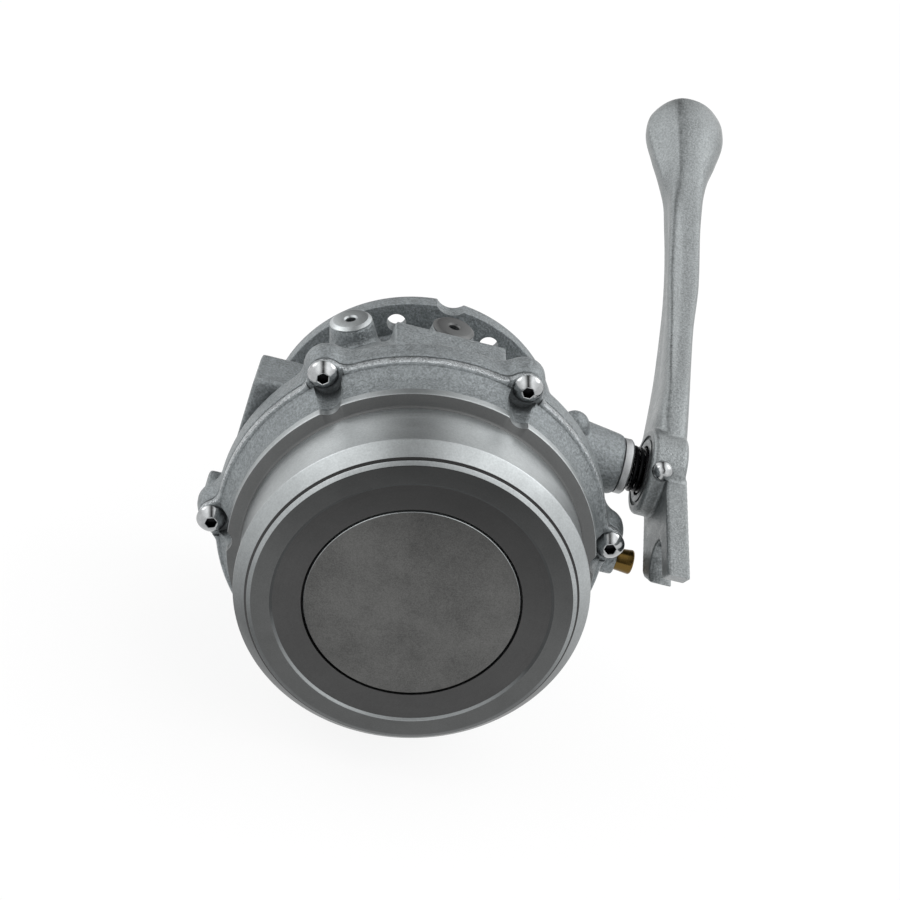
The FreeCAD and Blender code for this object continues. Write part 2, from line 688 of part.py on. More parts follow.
def make_body():
    rim = lobed_rim("body_rim", "joint_station", "body_rim_station")
    outside = fuse("body_outside", [make_body_shell(), rim] + make_body_forms())
    hollow = cut("body_hollow", outside, [make_chamber()])
    inner_boss = rod("shaft_inner_boss", "inner_boss_radius",
                     "boss_root - inner_boss_start + inner_boss_overlap",
                     "inner_boss_start", behind("shaft_station"), "shaft_height", "X")
    solid = fuse("body_solid", [hollow, inner_boss])
    tools = [
        side_tapped_rod("side_tapped_hole", "tapped_hole_radius", "tapped_depth"),
        rod("shaft_bore", "boss_bore", "cutter_length", "inner_boss_start - cutter_lead",
            behind("shaft_station"), "shaft_height", "X"),
        rod("port_bore", "plug_thread_radius", "cutter_length", "port_boss_end - plug_thread_length",
            behind("port_station"), "port_height", "X"),
        rod("tapped_hole", "tapped_hole_radius", "tapped_depth", "0", TAPPED_Y,
            "tapped_face - tapped_depth", "Z"),
        rod("flange_notch", "notch_radius", "cutter_length", "0", "0 - flange_width - cutter_lead",
            "notch_circle"),
    ]
    for n in range(SCREWS):
        x, z = screw_point(n)
        tools.append(rod("body_hole%d" % n, "screw_radius", "2 * screw_length", x,
                         behind("(joint_station - cutter_lead)"), z))
    for n in range(FLANGE_HOLES):
        x, z = on_circle("flange_circle", "(flange_hole_angle + %d * 360 / %d)" % (n, FLANGE_HOLES))
        tools.append(rod("flange_hole%d" % n, "flange_hole_radius", "cutter_length", x,
                         "0 - flange_width - cutter_lead", z))
    return cut("valve_body", solid, tools)


def make_guide():
    ring = turned("guide_ring", [
        ("guide_ring_inner", behind("(joint_station - guide_ring_width)")),
        ("guide_ring_radius", behind("(joint_station - guide_ring_width)")),
        ("guide_ring_radius", behind("joint_station")),
        ("guide_ring_inner", behind("joint_station")),
    ])
    hub = rod("guide_hub", "guide_hub_radius", "guide_hub_length", "0", behind("guide_hub_station"), "0")
    arms = []
    for n in range(GUIDE_ARMS):
        angle = "(guide_arm_angle + %d * 360 / %d)" % (n, GUIDE_ARMS)
        arm = block("guide_arm%d" % n,
                    ("guide_arm_width", "guide_arm_length", "guide_ring_inner + guide_arm_overlap"))
        turn(arm, Y_AXIS, angle)
        place(arm, "0 - guide_arm_width / 2 * cos" + angle, behind("(joint_station - guide_arm_length)"),
              "guide_arm_width / 2 * sin" + angle)
        arms.append(arm)
    solid = fuse("guide_solid", [ring, hub] + arms)
    bore = rod("guide_bore", "guide_bush_radius", "guide_hub_length + 2 * cutter_lead", "0",
               behind("(guide_hub_station - cutter_lead)"), "0")
    return cut("stem_guide", solid, [bore])


def make_guide_bush():
    return turned("guide_bush", [
        ("stem_radius + running_gap", behind("guide_hub_station")),
        ("guide_bush_radius", behind("guide_hub_station")),
        ("guide_bush_radius", behind("(guide_hub_station + guide_hub_length)")),
        ("stem_radius + running_gap", behind("(guide_hub_station + guide_hub_length)")),
    ])


def retainer_screw_point(number):
    angle = "(retainer_screw_angle + %d * 360 / %d)" % (number, RETAINER_SCREWS)
    return on_circle("retainer_screw_circle", angle)


def make_poppet():
    disc = turned("poppet_blank", [
        ("0", behind("0")),
        ("poppet_radius - poppet_edge", behind("0")),
        ("poppet_radius", behind("poppet_edge")),
        ("poppet_radius", behind("(poppet_disc_depth - poppet_back_edge)")),
        ("poppet_radius - poppet_back_edge", behind("poppet_disc_depth")),
        ("seal_inner", behind("poppet_disc_depth")),
        ("seal_inner", behind("(poppet_disc_depth + seal_depth)")),
        ("retainer_bore", behind("(poppet_disc_depth + seal_depth)")),
        ("retainer_bore", behind("stem_shoulder_station")),
        ("stem_end_radius", behind("stem_shoulder_station")),
        ("stem_end_radius", behind("stem_front_station")),
        ("0", behind("stem_front_station")),
    ])
    tools = []
    for n in range(RETAINER_SCREWS):
        x, z = retainer_screw_point(n)
        tools.append(rod("poppet_hole%d" % n, "retainer_screw_radius", "cutter_length", x,
                         behind("(poppet_disc_depth + seal_depth + retainer_depth - retainer_screw_length)"),
                         z))
    return cut("poppet_disc", disc, tools)


def make_poppet_seal():
    back = "(poppet_disc_depth + seal_depth)"
    line = "port_radius - seat_station - seal_gap * sqrt(2)"
    return turned("poppet_seal", [
        ("seal_inner", behind("poppet_disc_depth")),
        (line + " + poppet_disc_depth", behind("poppet_disc_depth")),
        (line + " + seat_station + seat_depth - seal_edge",
         behind("(seat_station + seat_depth - seal_edge)")),
        (line + " + seat_station + seat_depth - seal_edge", behind(back)),
        ("seal_inner", behind(back)),
    ])


def make_retainer():
    front = "(poppet_disc_depth + seal_depth)"
    back = "(poppet_disc_depth + seal_depth + retainer_depth)"
    plate = turned("retainer_blank", [
        ("retainer_bore", behind(front)),
        ("retainer_radius", behind(front)),
        ("retainer_radius", behind("(" + back + " - retainer_edge)")),
        ("retainer_radius - retainer_edge", behind(back)),
        ("retainer_bore", behind(back)),
    ])
    tools = []
    for n in range(RETAINER_SCREWS):
        x, z = retainer_screw_point(n)
        tools.append(rod("retainer_hole%d" % n, "retainer_screw_radius", "cutter_length", x, behind("0"), z))
    return cut("seal_retainer", plate, tools)


def make_retainer_screw(number):
    name = "retainer_screw%d" % number
    screw = turned(name, [
        ("0", "retainer_head_height"),
        ("retainer_crown_radius", "retainer_head_height"),
        ("retainer_head_radius", "retainer_brim_height"),
        ("retainer_head_radius", "0"),
        ("retainer_screw_radius", "0"),
        ("retainer_screw_radius", "0 - retainer_screw_length"),
        ("0", "0 - retainer_screw_length"),
    ])
    x, z = retainer_screw_point(number)
    place(screw, x, behind("(poppet_disc_depth + seal_depth + retainer_depth)"), z)
    return screw


def make_stem():
    return turned("poppet_stem", [
        ("0", behind("stem_front_station")),
        ("stem_end_radius", behind("stem_front_station")),
        ("stem_end_radius", behind("stem_shoulder_station")),
        ("stem_radius", behind("stem_shoulder_station")),
        ("stem_radius", behind("stem_rear_station")),
        ("stem_end_radius", behind("stem_rear_station")),
        ("stem_end_radius", behind(STEM_END)),
        ("0", behind(STEM_END)),
    ])


def make_yoke():
    slot_width = "2 * (roller_radius + yoke_side_gap)"
    frame_length = SLOT_FRONT + " - stem_rear_station + " + slot_width + " + yoke_wall"
    frame = block("yoke_frame", ("2 * yoke_half", frame_length, SLOT_TOP + " + yoke_cap - yoke_bottom"),
                  "0 - yoke_half", behind("stem_rear_station"), "yoke_bottom")
    slot = block("yoke_slot",
                 ("2 * (yoke_half + cutter_lead)", slot_width, SLOT_TOP + " - " + SLOT_BOTTOM),
                 "0 - yoke_half - cutter_lead", behind(SLOT_FRONT), SLOT_BOTTOM)
    bore = rod("yoke_bore", "stem_end_radius", SLOT_FRONT + " - stem_rear_station", "0",
               behind("stem_rear_station"), "0")
    return cut("stem_yoke", frame, [slot, bore])


def make_poppet_spring():
    """A conical wire spring from the seal retainer back to the guide's arms."""
    front = "(poppet_disc_depth + seal_depth + retainer_depth + spring_wire + spring_clear)"
    back = "(joint_station - guide_arm_length - spring_wire - spring_clear)"
    length = "(" + back + " - " + front + ")"
    helix = doc.addObject("Part::Helix", "poppet_spring_path")
    bind(helix, "Radius", "spring_small_radius")
    bind(helix, "Height", length)
    bind(helix, "Pitch", length + " / spring_turns")
    bind(helix, "Angle", "atan((spring_large_radius - spring_small_radius) / " + length + ")")
    ring = doc.addObject("Part::Circle", "poppet_spring_wire")
    bind(ring, "Radius", "spring_wire")
    ring.Placement = FreeCAD.Placement(FreeCAD.Vector(0, 0, 0), FreeCAD.Rotation(X_AXIS, 90))
    bind(ring, ".Placement.Base.x", "spring_small_radius")
    coil = doc.addObject("Part::Sweep", "poppet_spring")
    coil.Sections = [ring]
    coil.Spine = helix
    coil.Solid = True
    coil.Frenet = True
    coil.Placement = FreeCAD.Placement(FreeCAD.Vector(0, 0, 0), FreeCAD.Rotation(X_AXIS, 90))
    place(coil, "0", behind(back), "0")
    return coil


def on_shaft(thing, angle=None):
    """Puts a thing modelled about its own X axis on the operating shaft."""
    if angle is not None:
        turn(thing, X_AXIS, angle)
    place(thing, "0", behind("shaft_station"), "shaft_height")
    return thing


def make_crank():
    hub = rod("crank_hub", "crank_hub_radius", "crank_hub_length", "crank_start", "0", "0", "X")
    eye = rod("crank_eye", "crank_eye_radius", "crank_plate", "crank_start", "0",
              "0 - " + CRANK, "X")
    web = block("crank_web", ("crank_plate", "2 * crank_eye_radius", CRANK),
                "crank_start", "0 - crank_eye_radius", "0 - " + CRANK)
    solid = fuse("crank_solid", [hub, eye, web])
    tools = [
        rod("crank_bore", "shaft_radius", "cutter_length", "0", "0", "0", "X"),
        rod("crank_pin_bore", "crank_pin_radius", "cutter_length", "0", "0", "0 - " + CRANK, "X"),
        rod("crank_dowel_bore", "dowel_radius", "cutter_length", "dowel_x", "0",
            "0 - cutter_length / 2", "Z"),
    ]
    crank = cut("crank_arm", solid, tools)
    return on_shaft(crank, "0 - crank_half_swing")


def make_crank_pin():
    pin = rod("crank_pin_blank", "crank_pin_radius", "crank_start + crank_plate - crank_pin_start",
              "crank_pin_start", "0", "0 - " + CRANK, "X")
    groove = turned_ring("crank_pin_groove", CLIP_START, "clip_width", "crank_pin_radius - clip_groove",
                         "crank_pin_radius + cutter_lead")
    pin = cut("crank_pin", pin, [groove])
    return on_shaft(pin, "0 - crank_half_swing")


def turned_ring(name, start, width, inner, outer):
    """A flat ring about the crank pin's axis, from start along X."""
    disc = rod(name + "_disc", outer, width, start, "0", "0 - " + CRANK, "X")
    hole = rod(name + "_hole", inner, width + " + 2 * cutter_lead", start + " - cutter_lead", "0",
               "0 - " + CRANK, "X")
    return cut(name, disc, [hole])


CLIP_START = "(0 - roller_half - clip_gap - clip_width)"


def make_clip():
    clip = turned_ring("crank_clip", CLIP_START, "clip_width", "crank_pin_radius - clip_groove",
                       "clip_radius")
    return on_shaft(clip, "0 - crank_half_swing")


def make_roller():
    roller = turned_ring("crank_roller", "(0 - roller_half)", "2 * roller_half",
                         "crank_pin_radius + running_gap", "roller_radius")
    return on_shaft(roller, "0 - crank_half_swing")


def make_dowel():
    dowel = rod("crank_dowel", "dowel_radius", "2 * (crank_hub_radius + dowel_proud)", "dowel_x", "0",
                "0 - crank_hub_radius - dowel_proud", "Z")
    holder = fuse_one("crank_dowel", dowel)
    return on_shaft(holder, "0 - crank_half_swing")


def fuse_one(name, thing):
    """A copy of one thing that can be placed again as a whole."""
    thing.Label = name + "_blank"
    whole = doc.addObject("Part::Compound", name + "_whole")
    whole.Links = [thing]
    return whole


def make_shaft():
    blank = rod("shaft_blank", "shaft_radius", "handle_face + handle_hub_length - handle_edge - shaft_start",
                "shaft_start", "0", "0", "X")
    dowel_hole = rod("shaft_dowel_hole", "dowel_radius", "cutter_length", "dowel_x", "0",
                     "0 - cutter_length / 2", "Z")
    dowel_turned = fuse_one("shaft_dowel", dowel_hole)
    turn(dowel_turned, X_AXIS, "0 - crank_half_swing")
    pin_hole = rod("shaft_pin_hole", "pin_radius", "cutter_length", "handle_face + pin_x",
                   "0 - cutter_length / 2", "0", "Y")
    pin_turned = fuse_one("shaft_pin", pin_hole)
    turn(pin_turned, X_AXIS, "0 - pin_angle")
    shaft = cut("operating_shaft", blank, [dowel_turned, pin_turned])
    return on_shaft(shaft)


def make_handle_pin():
    """A cross pin through the hub with a domed head that faces forward and up."""
    shank = rod("handle_pin_shank", "pin_radius", "2 * handle_hub_radius - pin_end", "handle_face + pin_x",
                "0 - handle_hub_radius", "0", "Y")
    ball = doc.addObject("Part::Sphere", "handle_pin_ball")
    bind(ball, "Radius", "pin_head_radius")
    place(ball, "handle_face + pin_x", "0 - handle_hub_radius - pin_head_lift", "0")
    hub = rod("handle_pin_hub", "handle_hub_radius", "cutter_length", "handle_face - cutter_lead", "0", "0",
              "X")
    dome = cut("handle_pin_dome", ball, [hub])
    pin = fuse("handle_pin", [shank, dome])
    return on_shaft(pin, "0 - pin_angle")


ARM = [
    ("0", "arm_root_x - 1", "arm_root_width * 0.57", "arm_root_half * 0.9"),
    ("arm_length * 0.09", "arm_root_x - 1", "arm_root_width * 0.57", "arm_root_half * 0.96"),
    ("arm_length * 0.145", "arm_root_x", "arm_root_width / 2", "arm_root_half * 0.95"),
    ("arm_length * 0.26", "arm_root_x * 0.6 + arm_neck_x * 0.4", "arm_root_width * 0.46",
     "arm_root_half * 0.7"),
    ("arm_length * 0.35", "arm_root_x * 0.35 + arm_neck_x * 0.65", "arm_root_width * 0.45",
     "arm_root_half * 0.58"),
    ("arm_length * 0.46", "arm_neck_x", "arm_neck_width * 0.44", "arm_neck_half"),
    ("arm_length * 0.67", "arm_neck_x", "arm_neck_width / 2", "arm_neck_half"),
    ("arm_length * 0.73", "arm_neck_x", "arm_neck_width * 0.57", "arm_neck_half * 1.05"),
    ("arm_length * 0.79", "arm_tip_x", "knob_width * 0.31", "knob_height * 0.36"),
    ("arm_length * 0.85", "arm_tip_x", "knob_width * 0.42", "knob_height * 0.44"),
    ("arm_length * 0.92", "arm_tip_x", "knob_width / 2", "knob_height / 2"),
    ("arm_length * 0.955", "arm_tip_x", "knob_width * 0.455", "knob_height * 0.47"),
    ("arm_length * 0.985", "arm_tip_x", "knob_width * 0.3", "knob_height * 0.36"),
    ("arm_length", "arm_tip_x", "knob_width * 0.13", "knob_height * 0.2"),
]


SECTION_CORNERS = 12


def arm_section(number, along, across, half_x, half_z):
    """A soft-cornered section of the arm, square to it, at a distance from the shaft."""
    sketch = doc.addObject("Sketcher::SketchObject", "arm_section%d" % number)
    corners = []
    for n in range(SECTION_CORNERS):
        angle = math.radians((n + 0.5) * 360 / SECTION_CORNERS)
        u, v = math.cos(angle), math.sin(angle)
        size = (abs(u) ** 3 + abs(v) ** 3) ** (1 / 3)
        corners.append(("(%s) * %.4f" % (half_x, u / size), "(%s) * %.4f" % (half_z, v / size)))
    outline(sketch, corners)
    sketch.Placement = FreeCAD.Placement(FreeCAD.Vector(0, 0, 0), FreeCAD.Rotation(X_AXIS, 90))
    place(sketch, "handle_face + " + across, along, "0")
    return sketch


def make_handle():
    hub = turned_on_shaft("handle_hub", [
        ("handle_face + handle_recess_depth", "shaft_radius"),
        ("handle_face + handle_recess_depth", "handle_recess_radius"),
        ("handle_face", "handle_recess_radius"),
        ("handle_face", "handle_ring_radius"),
        ("handle_face + handle_ring_bevel", "handle_hub_radius"),
        ("handle_face + handle_hub_length - handle_edge", "handle_hub_radius"),
        ("handle_face + handle_hub_length", "handle_hub_radius - handle_edge"),
        ("handle_face + handle_hub_length", "shaft_radius"),
    ])
    tail = new_body("handle_tail")
    sketch = new_sketch(tail, "handle_tail_outline", "YZ_Plane")
    outline(sketch, [(corner + "_y", corner + "_z") for corner, across, up in TAIL])
    pad = tail.newObject("PartDesign::Pad", "handle_tail_pad")
    pad.Profile = sketch
    bind(pad, "Length", "blade_width")
    place(tail, "handle_face + blade_start", behind("shaft_station"), "shaft_height")
    sections = [arm_section(n, *station) for n, station in enumerate(ARM)]
    loft = doc.addObject("Part::Loft", "handle_arm")
    loft.Sections = sections
    loft.Solid = True
    loft.Ruled = False
    arm = fuse_one("handle_arm", loft)
    on_shaft(arm, "handle_angle")
    solid = fuse("handle_solid", [hub, tail, arm])
    bore = rod("handle_bore", "shaft_radius", "cutter_length", "handle_face - cutter_lead",
               behind("shaft_station"), "shaft_height", "X")
    recess = rod("handle_recess", "handle_recess_radius", "handle_recess_depth + cutter_lead",
                 "handle_face - cutter_lead", behind("shaft_station"), "shaft_height", "X")
    pin_hole = rod("handle_pin_hole", "pin_radius", "cutter_length", "handle_face + pin_x",
                   "0 - cutter_length / 2", "0", "Y")
    pin_turned = fuse_one("handle_pin_hole", pin_hole)
    on_shaft(pin_turned, "0 - pin_angle")
    return cut("handle", solid, [bore, recess, pin_turned])


def make_shaft_rings():
    made = []
    for name, start in (("inner_bush", "bush_inner_start"), ("outer_bush", "bush_outer_start")):
        made.append(turned_on_shaft(name, [
            (start, "shaft_radius + running_gap"),
            (start + " + bush_length", "shaft_radius + running_gap"),
            (start + " + bush_length", "boss_bore"),
            (start, "boss_bore"),
        ]))
    made.append(turned_on_shaft("thrust_washer", [
        ("inner_boss_start - thrust_width", "shaft_radius + running_gap"),
        ("inner_boss_start", "shaft_radius + running_gap"),
        ("inner_boss_start", "thrust_radius"),
        ("inner_boss_start - thrust_width", "thrust_radius"),
    ]))
    for n in range(SHAFT_SEALS):
        start = "(seal_start + %d * (seal_width + seal_space))" % n
        made.append(turned_on_shaft("shaft_seal%d" % n, [
            (start, "shaft_radius + running_gap"),
            (start + " + seal_width", "shaft_radius + running_gap"),
            (start + " + seal_width", "boss_bore"),
            (start, "boss_bore"),
        ]))
    made.append(turned_on_shaft("gland_washer", [
        ("boss_end", "shaft_radius + running_gap"),
        ("boss_end + gland_width", "shaft_radius + running_gap"),
        ("boss_end + gland_width", "gland_radius - gland_bevel"),
        ("boss_end + gland_width - gland_bevel", "gland_radius"),
        ("boss_end", "gland_radius"),
    ]))
    return made


def make_shaft_spring():
    start = "(boss_end + gland_width + coil_wire + coil_clear)"
    end = "(handle_face + handle_recess_depth - coil_wire - coil_clear)"
    helix = doc.addObject("Part::Helix", "shaft_spring_path")
    bind(helix, "Radius", "coil_radius")
    bind(helix, "Height", end + " - " + start)
    bind(helix, "Pitch", "(" + end + " - " + start + ") / coil_turns")
    ring = doc.addObject("Part::Circle", "shaft_spring_wire")
    bind(ring, "Radius", "coil_wire")
    ring.Placement = FreeCAD.Placement(FreeCAD.Vector(0, 0, 0), FreeCAD.Rotation(X_AXIS, 90))
    bind(ring, ".Placement.Base.x", "coil_radius")
    coil = doc.addObject("Part::Sweep", "shaft_spring")
    coil.Sections = [ring]
    coil.Spine = helix
    coil.Solid = True
    coil.Frenet = True
    coil.Placement = FreeCAD.Placement(FreeCAD.Vector(0, 0, 0), FreeCAD.Rotation(Y_AXIS, 90))
    place(coil, start, behind("shaft_station"), "shaft_height")
    return coil


def make_plug():
    body = new_body("side_plug")
    sketch = new_sketch(body, "side_plug_profile", "XZ_Plane")
    outline(sketch, [
        ("port_boss_end - plug_thread_length", "0"),
        ("port_boss_end - plug_thread_length", "plug_thread_radius"),
        ("port_boss_end", "plug_thread_radius"),
        ("port_boss_end", "plug_radius"),
        ("plug_end - plug_bevel", "plug_tip_radius"),
        ("plug_end", "plug_tip_radius - plug_bevel"),
        ("plug_end", "plug_bore"),
        ("plug_end - plug_bore_depth", "plug_bore"),
        ("plug_end - plug_bore_depth", "0"),
    ])
    feature = body.newObject("PartDesign::Revolution", "side_plug_turned")
    feature.Profile = sketch
    feature.ReferenceAxis = (sketch, ["H_Axis"])
    feature.Angle = 360
    place(body, "0", behind("port_station"), "port_height")
    return body


def group(name, things):
    """Identical pieces that share one node."""
    whole = doc.addObject("Part::Compound", name)
    whole.Links = things
    return whole


pieces = {}
pieces["adaptor_head"] = make_head()
pieces["valve_body"] = make_body()
pieces["joint_seal"] = make_joint_seal()
pieces["head_screws"] = group("head_screws", [make_head_screw(n) for n in range(SCREWS)])
pieces["stem_guide"] = make_guide()
pieces["guide_bush"] = make_guide_bush()
pieces["poppet_disc"] = make_poppet()
pieces["poppet_seal"] = make_poppet_seal()
pieces["seal_retainer"] = make_retainer()
retainer_screws = [make_retainer_screw(n) for n in range(RETAINER_SCREWS)]
pieces["retainer_screws"] = group("retainer_screws", retainer_screws)
pieces["poppet_stem"] = make_stem()
pieces["stem_yoke"] = make_yoke()
pieces["poppet_spring"] = make_poppet_spring()
pieces["crank_arm"] = make_crank()
pieces["crank_pin"] = make_crank_pin()
pieces["crank_clip"] = make_clip()
pieces["crank_roller"] = make_roller()
pieces["crank_dowel"] = make_dowel()
pieces["operating_shaft"] = make_shaft()
pieces["handle_pin"] = make_handle_pin()
pieces["handle"] = make_handle()
bush_in, bush_out, thrust, seal_in, seal_out, gland = make_shaft_rings()
pieces["inner_bush"] = bush_in
pieces["outer_bush"] = bush_out
pieces["thrust_washer"] = thrust
pieces["shaft_seals"] = group("shaft_seals", [seal_in, seal_out])
pieces["gland_washer"] = gland
pieces["shaft_spring"] = make_shaft_spring()
pieces["side_plug"] = make_plug()

doc.recompute()

problems = []
for thing in doc.Objects:
    if "Invalid" in thing.State or "Error" in thing.State:
        problems.append("%s is %s" % (thing.Name, thing.State))
for name, piece in pieces.items():
    shape = piece.Shape
    if shape.isNull() or not shape.isValid():
        problems.append("%s has no valid shape" % name)
if problems:
    raise RuntimeError("; ".join(problems))

os.makedirs("parts", exist_ok=True)
for name, piece in pieces.items():
    piece.Label = name
    piece.Shape.exportStep("parts/%s.step" % name)
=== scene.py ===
import math

import bpy
import numpy as np
from bpy.props import FloatProperty, FloatVectorProperty, PointerProperty
from mathutils import Matrix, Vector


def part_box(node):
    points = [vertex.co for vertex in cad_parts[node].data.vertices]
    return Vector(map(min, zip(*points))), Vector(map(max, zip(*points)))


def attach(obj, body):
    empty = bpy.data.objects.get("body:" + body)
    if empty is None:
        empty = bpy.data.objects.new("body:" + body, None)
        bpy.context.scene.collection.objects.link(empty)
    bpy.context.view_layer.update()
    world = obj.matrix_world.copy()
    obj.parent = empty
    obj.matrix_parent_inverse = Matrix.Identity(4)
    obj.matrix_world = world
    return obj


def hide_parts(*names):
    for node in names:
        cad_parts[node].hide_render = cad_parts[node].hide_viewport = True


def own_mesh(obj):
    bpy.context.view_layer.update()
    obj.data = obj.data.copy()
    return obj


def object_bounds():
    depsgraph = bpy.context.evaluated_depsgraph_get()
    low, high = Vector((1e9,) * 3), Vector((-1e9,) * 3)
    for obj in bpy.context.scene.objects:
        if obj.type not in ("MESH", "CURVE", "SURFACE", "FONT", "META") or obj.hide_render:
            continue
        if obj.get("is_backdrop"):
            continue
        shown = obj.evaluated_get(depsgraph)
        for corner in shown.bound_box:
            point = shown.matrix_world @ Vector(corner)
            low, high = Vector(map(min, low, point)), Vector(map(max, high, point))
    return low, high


bl_info = {
    "name": "Bottom-loading adaptor valve",
    "version": (1, 0, 0),
    "blender": (4, 5, 0),
    "location": "3D View > Sidebar > Valve",
    "description": "Finished surfaces, materials and studio for a lever-operated adaptor valve",
    "category": "Object",
}

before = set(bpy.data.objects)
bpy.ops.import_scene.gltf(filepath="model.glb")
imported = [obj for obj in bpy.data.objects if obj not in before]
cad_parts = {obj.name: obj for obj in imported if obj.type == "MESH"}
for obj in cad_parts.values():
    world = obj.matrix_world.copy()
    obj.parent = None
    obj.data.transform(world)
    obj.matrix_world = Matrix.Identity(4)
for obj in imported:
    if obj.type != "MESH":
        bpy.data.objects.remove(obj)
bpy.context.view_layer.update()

# Lengths below are in millimetres. A station is a distance along the bore behind the nose's face, and
# the rear flange ends at LENGTH, where Y is 0. A turn is an angle about the bore, from up towards +X.
# RIM, CHAMBER, THROAT, POPPET and TAPPED are radii.
MM = 0.001
LENGTH = 165.8
CHAMBER = 71.0
THROAT = 39.0
TAPPED = 2.5
POPPET = 50.0

SCREW_ANGLES = np.radians(18.7 + 60.0 * np.arange(6))
SCREW_CIRCLE = 95.35
SCREW_SEAT = 62.5

JOINT = 67.5
RIM = 93.5
RIM_END = 81.0
HEAD_LUG = {"lug_circle": 93.2, "lug": 8.5, "fillet": 8.0}
BODY_LUG = {"lug_circle": 92.4, "lug": 10.4, "fillet": 14.0}

FLANGE_FRONT = 157.8
FLANGE_RADIUS = 72.2
FLANGE_CIRCLE = 62.0
FLANGE_HOLE = 4.8
NOTCH_HEIGHT = 77.5
NOTCH_RADIUS = 9.0


def at(station):
    """The Y of a station."""
    return station - LENGTH


# Each turned part's centre and axis
LEAN = math.radians(-22.5)
SHAFT = {"centre": (0.0, -60.8, 38.6), "axis": (1.0, 0.0, 0.0)}
UPPER_BOSS = {"centre": (0.0, -34.8, 0.0), "axis": (0.0, 0.0, 1.0)}
SIDE_BOSS = {"centre": (-49.6, -34.8, 67.5), "axis": (math.sin(LEAN), 0.0, math.cos(LEAN))}
SIDE_PORT = {"centre": (0.0, at(84), -1.0), "axis": (1.0, 0.0, 0.0)}
BORE = {"centre": (0.0, -LENGTH, 0.0), "axis": (0.0, 1.0, 0.0)}

HUB_X = 105.8
SHAFT_Y, SHAFT_Z = SHAFT["centre"][1:]


# Colours and nodes

def linear(code):
    """Turns an sRGB hex code into linear red, green and blue."""
    values = [int(code[n:n + 2], 16) / 255 for n in (1, 3, 5)]
    return tuple(v / 12.92 if v <= 0.04045 else ((v + 0.055) / 1.055) ** 2.4 for v in values)


def shade(colour, factor):
    """The colour made lighter or darker, with full alpha."""
    return tuple(min(1.0, channel * factor) for channel in colour[:3]) + (1.0,)


def scale_of(size_mm):
    """The scale at which a pattern's features are about that many millimetres across."""
    return 1 / (size_mm * MM)


def add(tree, kind, settings=None, links=None):
    """Adds a shader node, sets its settings by attribute or input, and links its inputs, each from a
    socket or from the first live output of a node."""
    node = tree.nodes.new("ShaderNode" + kind)
    for key, setting in (settings or {}).items():
        if isinstance(key, str) and hasattr(node, key):
            setattr(node, key, setting)
        else:
            node.inputs[key].default_value = setting
    for key, source in (links or {}).items():
        if isinstance(source, bpy.types.Node):
            source = next(output for output in source.outputs if output.enabled)
        tree.links.new(source, node.inputs[key])
    return node


def start_material(name):
    """An empty material, its node tree and the object's own coordinates."""
    material = bpy.data.materials.new(name)
    material.use_nodes = True
    material.node_tree.nodes.clear()
    place = add(material.node_tree, "TexCoord").outputs["Object"]
    return material, material.node_tree, place


def end_material(tree, metallic, paint, sheen, bump):
    """Ends a material with its shader: a colour, a roughness and a relief that vary over the surface."""
    shader = add(tree, "BsdfPrincipled", {"Metallic": metallic},
                 {"Base Color": paint, "Roughness": sheen, "Normal": bump})
    add(tree, "OutputMaterial", links={"Surface": shader})


# Materials. The inputs 6 and 7 of a Mix node are its two colours.

def blasted_casting(name, colour, grit_mm, depth_mm, roughness, metallic, spread):
    """Cast aluminium after shot blasting: pitted all over, with clouds of tone, bright grains and painted
    shade in its hollows."""
    material, tree, place = start_material(name)
    clouds = add(tree, "TexNoise", {"Scale": scale_of(16), "Detail": 6, "Roughness": 0.65}, {"Vector": place})
    skin = add(tree, "TexNoise", {"Scale": scale_of(4), "Detail": 5, "Roughness": 0.65}, {"Vector": place})
    grit = add(tree, "TexNoise", {"Scale": scale_of(grit_mm), "Detail": 4, "Roughness": 0.7},
               {"Vector": place})
    grains = add(tree, "TexVoronoi", {"Scale": scale_of(1.6 * grit_mm)}, {"Vector": place})
    cloudy = add(tree, "MapRange", {"From Min": 0.35, "From Max": 0.65, "To Max": 0.15}, {"Value": clouds})
    gritty = add(tree, "MapRange", {"From Min": 0.4, "From Max": 0.6}, {"Value": grit})
    uneven = add(tree, "MapRange", {"From Min": 0.35, "From Max": 0.65}, {"Value": skin})
    tone = add(tree, "Math", {"operation": "MULTIPLY_ADD", 1: 0.65}, {0: gritty, 2: cloudy})
    tone = add(tree, "Math", {"operation": "MULTIPLY_ADD", 1: 0.2}, {0: uneven, 2: tone})
    dark, light = shade(colour, 1 - spread), shade(colour, 1 + spread)
    metal = add(tree, "Mix", {"data_type": "RGBA", 6: dark, 7: light}, {0: tone})
    # Painted shade: ambient occlusion darkens the colour down to 0.35 of itself where the surface is
    # enclosed.
    openness = add(tree, "AmbientOcclusion", {"samples": 6, "Distance": 7 * MM}).outputs["AO"]
    unshaded = add(tree, "MapRange", {"From Min": 0.2, "From Max": 0.8}, {"Value": openness})
    paint = add(tree, "Mix", {"data_type": "RGBA", 6: shade(colour, 0.35)}, {0: unshaded, 7: metal})
    sheen = add(tree, "MapRange", {"From Min": 0.3, "From Max": 0.7, "To Min": roughness - 0.1,
                                   "To Max": roughness + 0.12}, {"Value": skin})
    height = add(tree, "Math", {"operation": "MULTIPLY", 1: 1.5}, {0: grit})
    height = add(tree, "Math", {"operation": "MULTIPLY_ADD", 1: 0.5}, {0: grains, 2: height})
    height = add(tree, "Math", {"operation": "MULTIPLY_ADD", 1: 0.9}, {0: skin, 2: height})
    bump = add(tree, "Bump", {"Strength": 1.0, "Distance": depth_mm * MM}, {"Height": height})
    end_material(tree, metallic, paint, sheen, bump)
    return material


